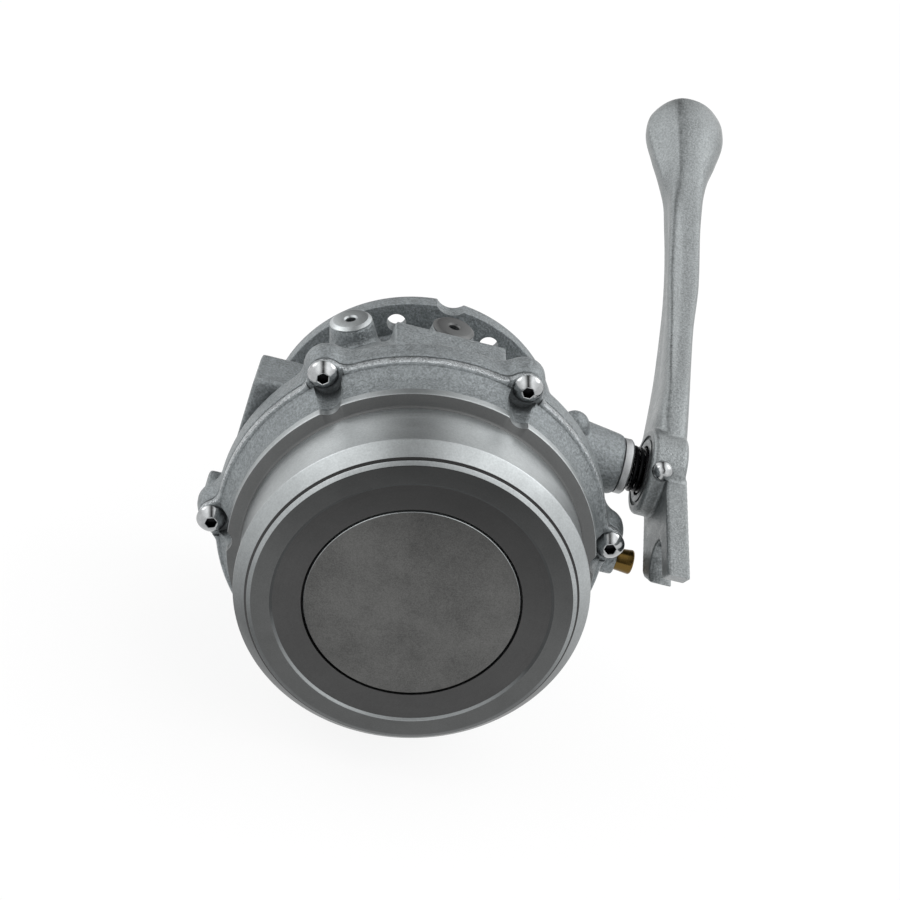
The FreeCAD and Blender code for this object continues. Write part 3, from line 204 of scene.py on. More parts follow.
def turned_metal(name, colour, pitch_mm, roughness, metallic, mottle, about="Y", grain_mm=0.6, lighter=1.0,
                 fade=(-1, 1, 1.0, 1.0)):
    """Lathe-turned metal, lightly blasted: a fine grain, faint rings about an axis of the frame and patches
    of tarnish. Fade holds two heights and the colour's strength at each. It isn't in the metal: it
    imitates dark surroundings that the photographed part reflects and this studio doesn't have."""
    material, tree, place = start_material(name)
    parts = add(tree, "SeparateXYZ", links={0: place}).outputs
    first, second = {"Y": ("X", "Z"), "X": ("Y", "Z")}[about]
    squares = add(tree, "Math", {"operation": "MULTIPLY"}, {0: parts[first], 1: parts[first]})
    squares = add(tree, "Math", {"operation": "MULTIPLY_ADD"},
                  {0: parts[second], 1: parts[second], 2: squares})
    radius = add(tree, "Math", {"operation": "SQRT"}, {0: squares})
    ring_place = add(tree, "CombineXYZ", links={0: radius, 1: parts[about]})
    rings = add(tree, "TexNoise", {"Scale": scale_of(pitch_mm), "Detail": 1.5}, {"Vector": ring_place})
    tarnish = add(tree, "TexNoise", {"Scale": scale_of(20), "Detail": 6, "Roughness": 0.66},
                  {"Vector": place})
    grain = add(tree, "TexNoise", {"Scale": scale_of(grain_mm), "Detail": 3, "Roughness": 0.6},
                {"Vector": place})
    patchy = add(tree, "MapRange", {"From Min": 0.35, "From Max": 0.65, "To Max": 0.4}, {"Value": tarnish})
    grainy = add(tree, "MapRange", {"From Min": 0.3, "From Max": 0.7}, {"Value": grain})
    tone = add(tree, "Math", {"operation": "MULTIPLY_ADD", 1: 0.6}, {0: grainy, 2: patchy})
    dark, light = shade(colour, lighter * (1 - mottle)), shade(colour, lighter * (1 + mottle))
    metal = add(tree, "Mix", {"data_type": "RGBA", 6: dark, 7: light}, {0: tone})
    # The fade is painted shade: it scales the colour by height.
    faded = add(tree, "MapRange", {"From Min": fade[0] * MM, "From Max": fade[1] * MM, "To Min": fade[2],
                                   "To Max": fade[3]}, {"Value": parts["Z"]})
    paint = add(tree, "Mix", {"data_type": "RGBA", "blend_type": "MULTIPLY", 0: 1.0}, {6: metal, 7: faded})
    sheen = add(tree, "MapRange", {"From Min": 0.3, "From Max": 0.7, "To Min": roughness - 0.04,
                                   "To Max": roughness + 0.05}, {"Value": rings})
    height = add(tree, "Math", {"operation": "MULTIPLY_ADD", 1: 0.4}, {0: rings, 2: grain})
    bump = add(tree, "Bump", {"Strength": 0.35, "Distance": 0.02 * MM}, {"Height": height})
    end_material(tree, metallic, paint, sheen, bump)
    return material


def bright_metal(name, colour, roughness=0.14, haze_mm=2.5, bump_mm=0.01):
    """Smooth plated or drawn metal with a slight haze."""
    material, tree, place = start_material(name)
    haze = add(tree, "TexNoise", {"Scale": scale_of(haze_mm), "Detail": 3}, {"Vector": place})
    hazy = add(tree, "MapRange", {"From Min": 0.35, "From Max": 0.65}, {"Value": haze})
    paint = add(tree, "Mix", {"data_type": "RGBA", 6: shade(colour, 0.9), 7: shade(colour, 1.08)}, {0: hazy})
    sheen = add(tree, "MapRange", {"From Min": 0.35, "From Max": 0.65, "To Min": roughness - 0.04,
                                   "To Max": roughness + 0.08}, {"Value": haze})
    bump = add(tree, "Bump", {"Strength": 0.15, "Distance": bump_mm * MM}, {"Height": haze})
    end_material(tree, 1.0, paint, sheen, bump)
    return material


def moulded_polymer(name, colour):
    """Moulded rubber or filled polymer: matt, with a fine grain that is drawn coarser than it is."""
    material, tree, place = start_material(name)
    grain = add(tree, "TexNoise", {"Scale": scale_of(0.4)}, {"Vector": place})
    grainy = add(tree, "MapRange", {"From Min": 0.3, "From Max": 0.7}, {"Value": grain})
    dark, light = shade(colour, 0.85), shade(colour, 1.15)
    paint = add(tree, "Mix", {"data_type": "RGBA", 6: dark, 7: light}, {0: grainy})
    sheen = add(tree, "MapRange", {"From Min": 0.3, "From Max": 0.7, "To Min": 0.5, "To Max": 0.64},
                {"Value": grain})
    bump = add(tree, "Bump", {"Strength": 0.2, "Distance": 0.02 * MM}, {"Height": grain})
    end_material(tree, 0.0, paint, sheen, bump)
    return material


# Each finish: how it is made, its colour and its values. Shot leaves pits of about 0.3 mm and a lathe
# tool rings of about 0.1 mm, which wouldn't show, so grits, grains and pitches are drawn coarser.
FINISHES = {
    # Shot blasting leaves an even, softly lit grey, broken by dark pits and bright grains.
    "blasted cast aluminium": (blasted_casting, "casting", {
        "grit_mm": 1.1, "depth_mm": 0.3, "roughness": 0.44, "metallic": 0.7, "spread": 0.38}),
    # The handle is blasted more finely: smoother and brighter, with long soft highlights.
    "blasted lever casting": (blasted_casting, "lever", {
        "grit_mm": 1.0, "depth_mm": 0.12, "roughness": 0.36, "metallic": 0.8, "spread": 0.3}),
    # Bare metal shows along the head's edge as a broken bright line.
    "chipped flash edge": (blasted_casting, "edge", {
        "grit_mm": 0.9, "depth_mm": 0.35, "roughness": 0.3, "metallic": 0.85, "spread": 0.6}),
    # Dirt and painted shade darken the joint, and dirt takes the shine off, so the joint reads as a dark
    # line.
    "dirt in the joint": (blasted_casting, "joint_dirt_and_shade", {
        "grit_mm": 0.9, "depth_mm": 0.1, "roughness": 0.6, "metallic": 0.2, "spread": 0.5}),
    # Turning stretches each highlight along the bore. The fade paints shade on the underside.
    "machined aluminium": (turned_metal, "machined", {
        "pitch_mm": 0.5, "roughness": 0.36, "metallic": 0.95, "mottle": 0.18, "grain_mm": 0.9,
        "fade": (-35, 32, 0.27, 1.0)}),
    # The lip has a soft shine. The fade paints shade above, so it is bright low down and dark above.
    "worn inner lip": (turned_metal, "machined", {
        "pitch_mm": 0.4, "roughness": 0.4, "metallic": 0.85, "mottle": 0.16, "fade": (-62, -20, 0.8, 0.13)}),
    # The ring round the poppet is dull, even and nearly black. Its fade paints shade higher up.
    "dark annulus": (turned_metal, "annulus", {
        "pitch_mm": 0.4, "roughness": 0.45, "metallic": 0.7, "mottle": 0.14, "fade": (0, 58, 1.0, 0.55)}),
    # The nose's face is a plain dark grey with little shine. Its fade paints shade higher up.
    "dull nose face": (turned_metal, "nose_face", {
        "pitch_mm": 0.4, "roughness": 0.42, "metallic": 0.8, "mottle": 0.14, "fade": (-5, 70, 1.0, 0.42)}),
    # The shoulder and one boss are machined faces in painted shade: as dull as the nose's face, a little
    # lighter.
    "dull shoulder": (turned_metal, "nose_face", {
        "pitch_mm": 0.4, "roughness": 0.42, "metallic": 0.8, "mottle": 0.14, "lighter": 1.2}),
    # The poppet's face has blotches of light and dark, and little shine. Its fade paints shade on the upper
    # part.
    "worn poppet face": (turned_metal, "poppet", {
        "pitch_mm": 1.2, "roughness": 0.4, "metallic": 0.8, "mottle": 0.4, "fade": (20, 50, 1.0, 0.7)}),
    # Fresh zinc is nearly a mirror, with sharp highlights.
    "zinc-plated steel": (bright_metal, "zinc", {}),
    # Weathered zinc has a soft, cloudy shine.
    "dull zinc plate": (bright_metal, "zinc", {"roughness": 0.42, "haze_mm": 1.2, "bump_mm": 0.05}),
    # Oiled black steel shows thin bright lines on near black.
    "black spring steel": (bright_metal, "spring", {"roughness": 0.26, "haze_mm": 1.5}),
    # Turned brass is warm and bright, with fine rings.
    "turned brass": (turned_metal, "brass", {
        "pitch_mm": 0.25, "roughness": 0.2, "metallic": 1.0, "mottle": 0.12, "about": "X"}),
    # Rubber is matt and nearly black.
    "nitrile rubber": (moulded_polymer, "rubber", {}),
    # Filled polymer is matt and dark brown.
    "bearing polymer": (moulded_polymer, "polymer", {}),
}


def finish(name):
    """The finish of that name, made the first time it is asked for."""
    made = bpy.data.materials.get(name)
    if made:
        return made
    make, colour, values = FINISHES[name]
    return make(name, getattr(bpy.context.scene.valve_colours, colour), **values)


# Surface helpers

def grid_mesh(grid, wrap_v=False, cap_start=False, cap_end=False):
    """A mesh from a grid of points in millimetres, rows v by columns u. Each point joins the next of
    its row, which closes on itself, and the one below; a cap fans an end row to its mean point."""
    rows, cols = grid.shape[:2]
    points = grid.reshape(-1, 3)
    v = np.arange(rows if wrap_v else rows - 1)[:, None]
    u = np.arange(cols)[None, :]
    below, beside = (v + 1) % rows, (u + 1) % cols
    quads = np.stack([v * cols + u, v * cols + beside, below * cols + beside, below * cols + u], axis=-1)
    quads = quads.reshape(-1, 4)
    fans = []
    for wanted, ring in ((cap_start, np.arange(cols)[::-1]), (cap_end, np.arange(cols) + (rows - 1) * cols)):
        if wanted:
            fans.append(np.stack([ring, np.roll(ring, -1), np.full(cols, len(points))], axis=-1))
            points = np.vstack([points, points[ring].mean(axis=0)])
    return faces_mesh(points, [quads] + fans)


def faces_mesh(points, groups):
    """A mesh from points in millimetres and arrays of faces, each array with one number of corners."""
    corners = np.concatenate([group.ravel() for group in groups]).astype(np.int32)
    sizes = np.concatenate([np.full(len(group), group.shape[1]) for group in groups])
    return outward(filled((points * MM).astype(np.float32).ravel(), corners, sizes))


def filled(coordinates, corners, sizes):
    """A mesh from its points' coordinates, its faces' corners, face after face, and each face's number
    of corners."""
    mesh = bpy.data.meshes.new("surface")
    mesh.vertices.add(len(coordinates) // 3)
    mesh.vertices.foreach_set("co", coordinates)
    mesh.loops.add(len(corners))
    mesh.loops.foreach_set("vertex_index", corners)
    mesh.polygons.add(len(sizes))
    mesh.polygons.foreach_set("loop_start", (np.cumsum(sizes) - sizes).astype(np.int32))
    mesh.update(calc_edges=True)
    mesh.validate()
    return mesh


def values_of(items, attribute, kind, each=1):
    """An attribute of all of a mesh's items as one array, with so many numbers for each."""
    found = np.empty(len(items) * each, dtype=kind)
    items.foreach_get(attribute, found)
    return found


def outward(mesh):
    """Flips a closed mesh whose signed volume is negative, so that its faces point outwards."""
    mesh.calc_loop_triangles()
    corners = values_of(mesh.loop_triangles, "vertices", np.int32, 3)
    points = values_of(mesh.vertices, "co", np.float32, 3)
    first, second, third = points.reshape(-1, 3)[corners.reshape(-1, 3)].transpose(1, 0, 2)
    if np.einsum("ij,ij->", first, np.cross(second, third)) < 0:
        mesh.flip_normals()
    return mesh


def joined(meshes):
    """One mesh of several closed ones, each kept as its own shell."""
    bases = np.cumsum([0] + [len(mesh.vertices) for mesh in meshes[:-1]])
    coordinates = np.concatenate([values_of(mesh.vertices, "co", np.float32, 3) for mesh in meshes])
    corners = [values_of(mesh.loops, "vertex_index", np.int32) + base for mesh, base in zip(meshes, bases)]
    sizes = np.concatenate([values_of(mesh.polygons, "loop_total", np.int32) for mesh in meshes])
    return filled(coordinates, np.concatenate(corners).astype(np.int32), sizes)


def temporary(mesh):
    """An object that holds a mesh while modifiers are applied to it."""
    made = bpy.data.objects.new("temporary", mesh)
    bpy.context.scene.collection.objects.link(made)
    return made


def applied(made):
    """The object's mesh with its modifiers applied; the object itself is removed."""
    graph = bpy.context.evaluated_depsgraph_get()
    mesh = bpy.data.meshes.new_from_object(made.evaluated_get(graph))
    bpy.data.objects.remove(made)
    return mesh


def cast_from(meshes, voxel_mm, rounds):
    """Closed forms melted into one casting: a voxel remesh joins them, and smoothing rounds each edge
    and fills each corner."""
    made = temporary(joined(meshes))
    melt = made.modifiers.new("melt", "REMESH")
    melt.mode = "VOXEL"
    melt.voxel_size = voxel_mm * MM
    soften = made.modifiers.new("soften", "SMOOTH")
    soften.factor = 0.5
    soften.iterations = rounds
    return applied(made)


def cut_away(mesh, cutters):
    """The mesh with closed cutters taken out of it by exact Booleans."""
    made = temporary(mesh)
    tools = [temporary(cutter) for cutter in cutters]
    for tool in tools:
        cut = made.modifiers.new("cut", "BOOLEAN")
        cut.operation = "DIFFERENCE"
        cut.solver = "EXACT"
        cut.object = tool
    result = applied(made)
    for tool in tools:
        bpy.data.objects.remove(tool)
    return result


def piece(name, mesh, body, materials, replaces=(), angle=32, zones=None):
    """A finished object that rides on a body and stands for its CAD nodes. Zones gives each face the
    number of its material."""
    mesh.name = name
    mesh.polygons.foreach_set("use_smooth", np.ones(len(mesh.polygons), dtype=bool))
    mesh.set_sharp_from_angle(angle=math.radians(angle))
    mesh.materials.clear()
    for material in [materials] if isinstance(materials, str) else materials:
        mesh.materials.append(finish(material))
    if zones is not None:
        mesh.polygons.foreach_set("material_index", zones.astype(np.int32))
    made = bpy.data.objects.new(name, mesh)
    bpy.context.scene.collection.objects.link(made)
    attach(made, body)
    if replaces:
        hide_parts(*replaces)
    return made


def rounded(corners, radius, steps=4):
    """A profile whose inner corners are rounded: each becomes a quadratic curve between the points
    that lie at most radius before and after it, with the corner as its control point."""
    corners = np.asarray(corners, dtype=float)
    before, after = corners[:-2] - corners[1:-1], corners[2:] - corners[1:-1]
    before_length = np.linalg.norm(before, axis=1, keepdims=True)
    after_length = np.linalg.norm(after, axis=1, keepdims=True)
    reach = np.minimum(radius, 0.45 * np.minimum(before_length, after_length))
    start = (corners[1:-1] + before / before_length * reach)[:, None]
    end = (corners[1:-1] + after / after_length * reach)[:, None]
    w = np.linspace(0, 1, steps)[None, :, None]
    curves = (1 - w) ** 2 * start + 2 * w * (1 - w) * corners[1:-1][:, None] + w ** 2 * end
    return np.vstack([corners[:1], curves.reshape(-1, 2), corners[-1:]])


def lathe(profile, steps=192, centre=BORE["centre"], axis=BORE["axis"]):
    """A profile of (radius, distance along the axis) turned about an axis through centre: the point at
    angle t lies at radius times sine and cosine of t along the two directions square to the axis."""
    axis = np.array(axis) / np.linalg.norm(axis)
    nearly_upright = abs(axis[2]) >= 0.95
    beside = np.cross(axis, (0.0, 1.0, 0.0) if nearly_upright else (0.0, 0.0, 1.0))
    beside /= np.linalg.norm(beside)
    above = np.cross(beside, axis)
    turn = np.linspace(0, 2 * np.pi, steps, endpoint=False)[None, :, None]
    radius, along = profile[:, :1, None], profile[:, 1:, None]
    return np.array(centre) + radius * (np.sin(turn) * beside + np.cos(turn) * above) + along * axis


def solid_lathe(corners, round_by=0.3, steps=192, **where):
    """A closed turned form whose profile starts and ends on its axis."""
    profile = rounded(corners, round_by)
    profile[[0, -1], 0] = 0.001
    return grid_mesh(lathe(profile, steps, **where), cap_start=True, cap_end=True)


def ring_lathe(corners, round_by=0.3, steps=192, **where):
    """A closed turned ring: the profile's last corner joins its first."""
    return grid_mesh(lathe(rounded(corners, round_by), steps, **where), wrap_v=True)


def rod(radius, start, end, steps=64, **where):
    """A closed cylinder from start to end along an axis."""
    return solid_lathe([(0, start), (radius, start), (radius, end), (0, end)], 0.2, steps, **where)


def smooth_min(first, second, fillet):
    """The smaller of two values with a fillet where they cross: the mean of both, less half the root
    of their difference squared plus the fillet squared."""
    return (first + second - np.sqrt((first - second) ** 2 + fillet ** 2)) / 2


def polar_skin(rows, turn):
    """A grid about the bore from rows of (station, radius), each a number or one number for each angle
    of turn: the point is at radius times sine and cosine of the angle, at its station."""
    grid = np.empty((len(rows), len(turn), 3))
    for line, (station, radius) in zip(grid, rows):
        line[:, 0], line[:, 1], line[:, 2] = radius * np.sin(turn), at(station), radius * np.cos(turn)
    return grid


def from_nearest_screw(turn):
    """The angle from each direction to its nearest screw."""
    away = (turn[:, None] - SCREW_ANGLES[None, :] + np.pi) % (2 * np.pi) - np.pi
    return away[np.arange(len(turn)), np.abs(away).argmin(axis=1)]


def rim_turns():
    """Angles round the rim: even ones, and closer ones where each screw's pocket and lug begin."""
    by_pocket, by_lug = np.linspace(2.5, 3.1, 5), np.linspace(4.7, 6.1, 8)
    sides = np.radians(np.concatenate([-by_pocket, -by_lug, by_pocket, by_lug]))
    close = (SCREW_ANGLES[:, None] + sides).ravel() % (2 * np.pi)
    return np.unique(np.concatenate([np.linspace(0, 2 * np.pi, 600, endpoint=False), close]).round(6))


def lug_outline(turn, lug_circle, lug, fillet):
    """Radius of the rim with its lugs, as a ray from the bore meets it: the lug's circle near a screw,
    beside it the circle of the fillet that touches lug and rim, and elsewhere the rim."""
    away = np.abs(from_nearest_screw(turn))
    far, reach = RIM + fillet, lug + fillet
    middle = math.acos((far ** 2 + lug_circle ** 2 - reach ** 2) / (2 * far * lug_circle))
    touch_x = lug_circle + (far * math.cos(middle) - lug_circle) * lug / reach
    touch = math.atan2(far * math.sin(middle) * lug / reach, touch_x)
    on_lug = lug_circle * np.cos(away) + np.sqrt(np.maximum(lug ** 2 - (lug_circle * np.sin(away)) ** 2, 0))
    side = middle - away
    on_fillet = far * np.cos(side) - np.sqrt(np.maximum(fillet ** 2 - (far * np.sin(side)) ** 2, 0))
    return np.where(away < touch, on_lug, np.where(away < middle, on_fillet, RIM))


BESIDE_POCKET = 300.0


def pocket_near_side(turn, pocket, centre):
    """Radius at which a ray from the bore meets a round pocket by each screw: the distance to the
    pocket's middle along the ray, less half the chord. Rays that miss it get a radius past the head."""
    turned = from_nearest_screw(turn)
    beside = centre * np.sin(turned)
    deep = np.sqrt(np.maximum(pocket ** 2 - beside ** 2, 0.0))
    return np.where(np.abs(beside) < pocket, centre * np.cos(turned) - deep, BESIDE_POCKET)


def curve_through(positions, values, wanted):
    """A smooth curve through given values: cubic Hermite spans with slopes from the neighbours."""
    positions, values = np.asarray(positions, float), np.asarray(values, float)
    slopes = np.gradient(values, positions)
    n = np.clip(np.searchsorted(positions, wanted, side="right") - 1, 0, len(positions) - 2)
    span = positions[n + 1] - positions[n]
    t = (wanted - positions[n]) / span
    return ((2 * t ** 3 - 3 * t ** 2 + 1) * values[n] + (t ** 3 - 2 * t ** 2 + t) * span * slopes[n]
            + (3 * t ** 2 - 2 * t ** 3) * values[n + 1] + (t ** 3 - t ** 2) * span * slopes[n + 1])


def prism(corners, low, high, axis):
    """A closed prism: an outline in the two other directions, carried from low to high along an axis."""
    corners = np.asarray(corners, float)
    ends = []
    for level in (low, high):
        flat = np.full(len(corners), float(level))
        columns = {0: (flat, corners[:, 0], corners[:, 1]), 1: (corners[:, 0], flat, corners[:, 1]),
                   2: (corners[:, 0], corners[:, 1], flat)}[axis]
        ends.append(np.stack(columns, axis=-1))
    count = len(corners)
    side = np.arange(count)
    walls = np.stack([side, (side + 1) % count, (side + 1) % count + count, side + count], axis=-1)
    return faces_mesh(np.vstack(ends), [walls, side[None, ::-1], (side + count)[None]])


def helix_tube(start, end, radius, wire, turns, phase=0.0, around=10, per_turn=40):
    """A wire spring about the shaft: the path is at angle a, on a circle whose distance along X grows
    with a, and the tube adds a circle of the wire's radius in the path's normal plane."""
    count = int(turns * per_turn) + 1
    a = np.linspace(0, turns * 2 * np.pi, count) + phase
    x = np.linspace(start, end, count)
    path = np.stack([x, radius * np.cos(a), radius * np.sin(a)], axis=-1)
    outwards = np.stack([np.zeros(count), np.cos(a), np.sin(a)], axis=-1)
    along = np.gradient(path, axis=0)
    along /= np.linalg.norm(along, axis=1, keepdims=True)
    across = np.cross(along, outwards)
    w = np.linspace(0, 2 * np.pi, around, endpoint=False)[None, :, None]
    tube = path[:, None] + wire * (np.cos(w) * outwards[:, None] + np.sin(w) * across[:, None])
    return tube + np.array(SHAFT["centre"])


def conical_coil(start, end, first, last, wire, turns, around=12, per_turn=48):
    """A wire about the bore: its middle turns steadily while its depth runs evenly from start to end
    and its radius from first to last."""
    share = np.linspace(0, 1, int(turns * per_turn) + 1)[:, None]
    turn, w = 2 * np.pi * turns * share, np.linspace(0, 2 * np.pi, around, endpoint=False)[None, :]
    radius = first + (last - first) * share + wire * np.cos(w)
    depth = start + (end - start) * share + wire * np.sin(w)
    return np.stack([radius * np.sin(turn), depth, radius * np.cos(turn)], axis=-1)


# Surfaces of the valve

MACHINED, CAST, FLASH = "machined aluminium", "blasted cast aluminium", "chipped flash edge"
JOINT_DIRT_AND_SHADE, PAINTED_SHADE_FACE, BLACK, ZINC = "dirt in the joint", "dull shoulder", "black spring steel", "zinc-plated steel"
HEAD_FINISHES = [MACHINED, "dull nose face", CAST, FLASH, "dark annulus", JOINT_DIRT_AND_SHADE, "worn inner lip", PAINTED_SHADE_FACE]
# The bands of finish on the nose's face, each out to a radius
NOSE_BANDS = ((51.1, MACHINED), (64.1, "dark annulus"), (65.6, "worn inner lip"), (74.2, "dull nose face"),
              (76.25, MACHINED), (77.2, "dark annulus"))


def nose_finish(radius, station):
    """The finish at a point of the nose: its face's bands, then bare metal with the shoulder in painted
    shade.
    """
    if station >= 9:
        return PAINTED_SHADE_FACE if 40.2 < station < 42.7 else MACHINED
    return next((look for edge, look in NOSE_BANDS if radius <= edge), MACHINED)


def head_surface():
    """The head as one closed skin about the bore, row by row from the inner lip: the turned nose and
    neck, the raw casting that a driver's pocket cuts into, the lugs' outline with a round front edge,
    the joint and the bore. Each row is a station, a radius for each turn, and a finish."""
    turn = rim_turns()
    outline, near = lug_outline(turn, **HEAD_LUG), pocket_near_side(turn, 6.6, 91.3)
    # The nose and the neck up to the machined band
    nose = rounded([(51.1, 1.6), (51.1, 0), (64.2, 0), (65.5, -0.85), (74.1, 0.25), (76.3, 1.5), (76.35, 2.7),
                    (77.3, 2.8), (82.85, 9.4), (82.85, 10.6), (80.8, 13), (80.8, 40.6), (81.7, 41.3),
                    (87.3, 42.8), (87.3, 44.35)], 0.3)
    rows = [(station, np.minimum(radius, near), nose_finish(radius, station)) for radius, station in nose]
    rows += [(station, np.minimum(87.3, near), MACHINED) for station in (44.4, 45.0, 45.8, 46.6, 47.3)]
    # The raw casting, which swells towards the lugs
    stations = np.concatenate([[47.65], np.linspace(48.6, 57.6, 10), np.linspace(58.2, 61.3, 8)])
    swell = curve_through([47.65, 52, 55, 57.5, 59.5, 61.4], [86.75, 87.3, 88.0, 89.1, 90.4, 91.6], stations)
    rows += [(station, smooth_min(radius, near, 0.9), CAST) for station, radius in zip(stations, swell)]
    # The front of the lugs, sunk at each screw's seat, and its round edge
    spot_face = pocket_near_side(turn, 9.2, SCREW_CIRCLE) < BESIDE_POCKET
    front = np.where(spot_face, SCREW_SEAT, SCREW_SEAT - 1)
    edge = 1.8
    foot = np.minimum(np.minimum(91.65, near), outline - edge)
    rows += [(front, foot + (outline - edge - foot) * share, CAST) for share in (0.0, 0.5, 1.0)]
    for bend, look in zip(np.radians([20, 45, 70, 90]), (CAST, FLASH, FLASH, FLASH)):
        rows.append((front + edge * (1 - math.cos(bend)), outline - edge + edge * math.sin(bend), look))
    # The side of the lugs and the chamfer at the joint, then the bore back to the lip
    # The chamfer at the joint takes dirt and painted shade.
    rows += [(station, outline - inset, look) for station, inset, look in
             ((65.8, 0.0, FLASH), (66.3, 0.4, JOINT_DIRT_AND_SHADE), (67.1, 1.7, JOINT_DIRT_AND_SHADE), (JOINT, 2.6, JOINT_DIRT_AND_SHADE))]
    rows += [(station, np.full(len(turn), float(radius)), MACHINED) for station, radius in
             ((JOINT, CHAMBER), (61.5, CHAMBER), (61.5, 67), (15, 67), (10, 57.1), (4, 51.1))]
    skin = polar_skin([(station, radius) for station, radius, look in rows], turn)
    zones = [HEAD_FINISHES.index(look) for station, radius, look in rows]
    return grid_mesh(skin, wrap_v=True), np.repeat(zones, len(turn))


def rim_surface():
    """The body's rim as a closed skin: the head's outline with a round front edge, which grows into the
    body's broader one behind the joint and rounds off at the rear."""
    turn = rim_turns()
    outline, broad = lug_outline(turn, **HEAD_LUG), lug_outline(turn, **BODY_LUG)
    bore = np.full(len(turn), CHAMBER)
    front, edge, depth = JOINT + 0.05, 1.4, 1.0
    rows = [(front, bore), (front, outline - edge)]
    for bend in np.radians([25, 50, 75, 90]):
        rows.append((front + depth * (1 - math.cos(bend)), outline - edge + edge * math.sin(bend)))
    for station, inset, share in ((70, 0, 0.25), (71.5, 0, 0.55), (73.5, 0, 0.85), (75.5, 0, 1),
                                  (78.4, 0.1, 1), (79.6, 0.5, 1), (80.5, 1.3, 1), (RIM_END, 2.6, 1)):
        rows.append((station, outline + (broad - outline) * share - inset))
    rows.append((RIM_END, bore))
    return grid_mesh(polar_skin(rows, turn), wrap_v=True)


def casting_forms():
    """Closed forms of the body's casting: the inside of the rim, the turned bowl and throat, and what
    stands on them: the shaft's boss and a lump by it, the side port, the pad and a wedge at its end,
    two tapped bosses, the block with a ledge, and the ear."""
    # Turned profiles are radius and place along the axis, and prisms' outlines are places on the two
    # other directions.
    turn = rim_turns()
    inside, middle = lug_outline(turn, **BODY_LUG) - 1.6, np.full(len(turn), 1.0)
    rim = polar_skin([(70, middle), (70, inside), (80.5, inside), (80.5, middle)], turn)
    bowl = [(0, 76), (89.5, 76), (89.5, 80.5), (88, 82.5), (79, 109), (63, 138), (54, 146), (54, 158.4),
            (71.4, 158.4), (71.4, 165.2), (0, 165.2)]
    shaft_boss = [(0, 45), (21.5, 45), (18.6, 66), (14.9, 92), (14.1, 93.9), (0, 93.9)]
    lump = [(0, -7.2), (4.6, -6.2), (7.2, -2.4), (7.2, 2.4), (4.6, 6.2), (0, 7.2)]
    upper_boss = [(0, 50), (14, 50), (11.6, 66), (10.5, 75.6), (0, 75.6)]
    side_boss = [(0, -24), (14, -24), (11.6, -10), (10.5, -1.4), (0, -1.4)]
    pad = [(-31, 57), (24, 57), (24, 82), (-31, 82)]
    wedge = [(at(76), 60), (at(76), 85.5), (at(83), 84.0), (at(100), 74.5), (at(100), 60)]
    block = [(-60, at(87)), (-90.6, at(87)), (-87, at(117)), (-60, at(117))]
    ledge = [(-87, at(88.5)), (-69, at(88.5)), (-69, at(92)), (-87, at(92))]
    ear = [(-98.3, at(79.2)), (-76.5, at(79.2)), (-76.5, at(90.3)), (-98.3, at(90.3))]
    return [
        grid_mesh(rim, cap_start=True, cap_end=True),
        solid_lathe(bowl, 3.0),
        solid_lathe(shaft_boss, 1.0, 96, **SHAFT),
        solid_lathe(lump, 2.5, 48, centre=(66.0, at(101), 56.5), axis=(0, 0, 1)),
        rod(8.0, 75, 103.4, **SIDE_PORT),
        prism(pad, at(91), at(113), 1),
        prism(wedge, 18, 42, 0),
        solid_lathe(upper_boss, 0.6, 64, **UPPER_BOSS),
        solid_lathe(side_boss, 0.6, 64, **SIDE_BOSS),
        prism(block, -1.8, 45.2, 2),
        prism(ledge, 40, 46.8, 2),
        prism(ear, -29.6, -8.6, 2),
    ]


def casting_cutters():
    """The chamber with every hole that opens outside, and the bore for the shaft."""
    chamber = [(0, 60), (CHAMBER, 60), (CHAMBER, 91), (70.95, 109), (53.9, 131), (THROAT, 144), (THROAT, 170),
               (0, 170)]
    holes = [solid_lathe(chamber, 0.8, 160), rod(4.6, 94.5, 120, **SIDE_PORT),
             rod(TAPPED, 65, 90, 48, **UPPER_BOSS), rod(TAPPED, -12, 12, 48, **SIDE_BOSS)]
    return holes, rod(10.0, 20, 120, 96, **SHAFT)


def flange_cutters(spare):
    """The eight bolt holes and the notch of the rear flange, wider by spare."""
    places = [(FLANGE_CIRCLE * math.sin(a), -LENGTH, FLANGE_CIRCLE * math.cos(a))
              for a in np.radians(22.5 + 45 * np.arange(8))]
    holes = [rod(FLANGE_HOLE + spare, 150, 175, 48, centre=place, axis=BORE["axis"]) for place in places]
    notch = rod(NOTCH_RADIUS + spare, 150, 175, 96, centre=(0, -LENGTH, NOTCH_HEIGHT), axis=BORE["axis"])
    return holes + [notch]


def tapped_face(top, where):
    """The machined ring about a boss's tapped hole, whose face is at top along the boss's axis."""
    profile = rounded([(TAPPED, top - 1), (TAPPED, top - 2), (10.3, top - 2), (10.4, top - 1.4), (8.6, top),
                       (3.3, top), (TAPPED, top - 0.8), (TAPPED, top - 1)], 0.1, 2)
    return grid_mesh(lathe(profile, 96, **where), wrap_v=True)


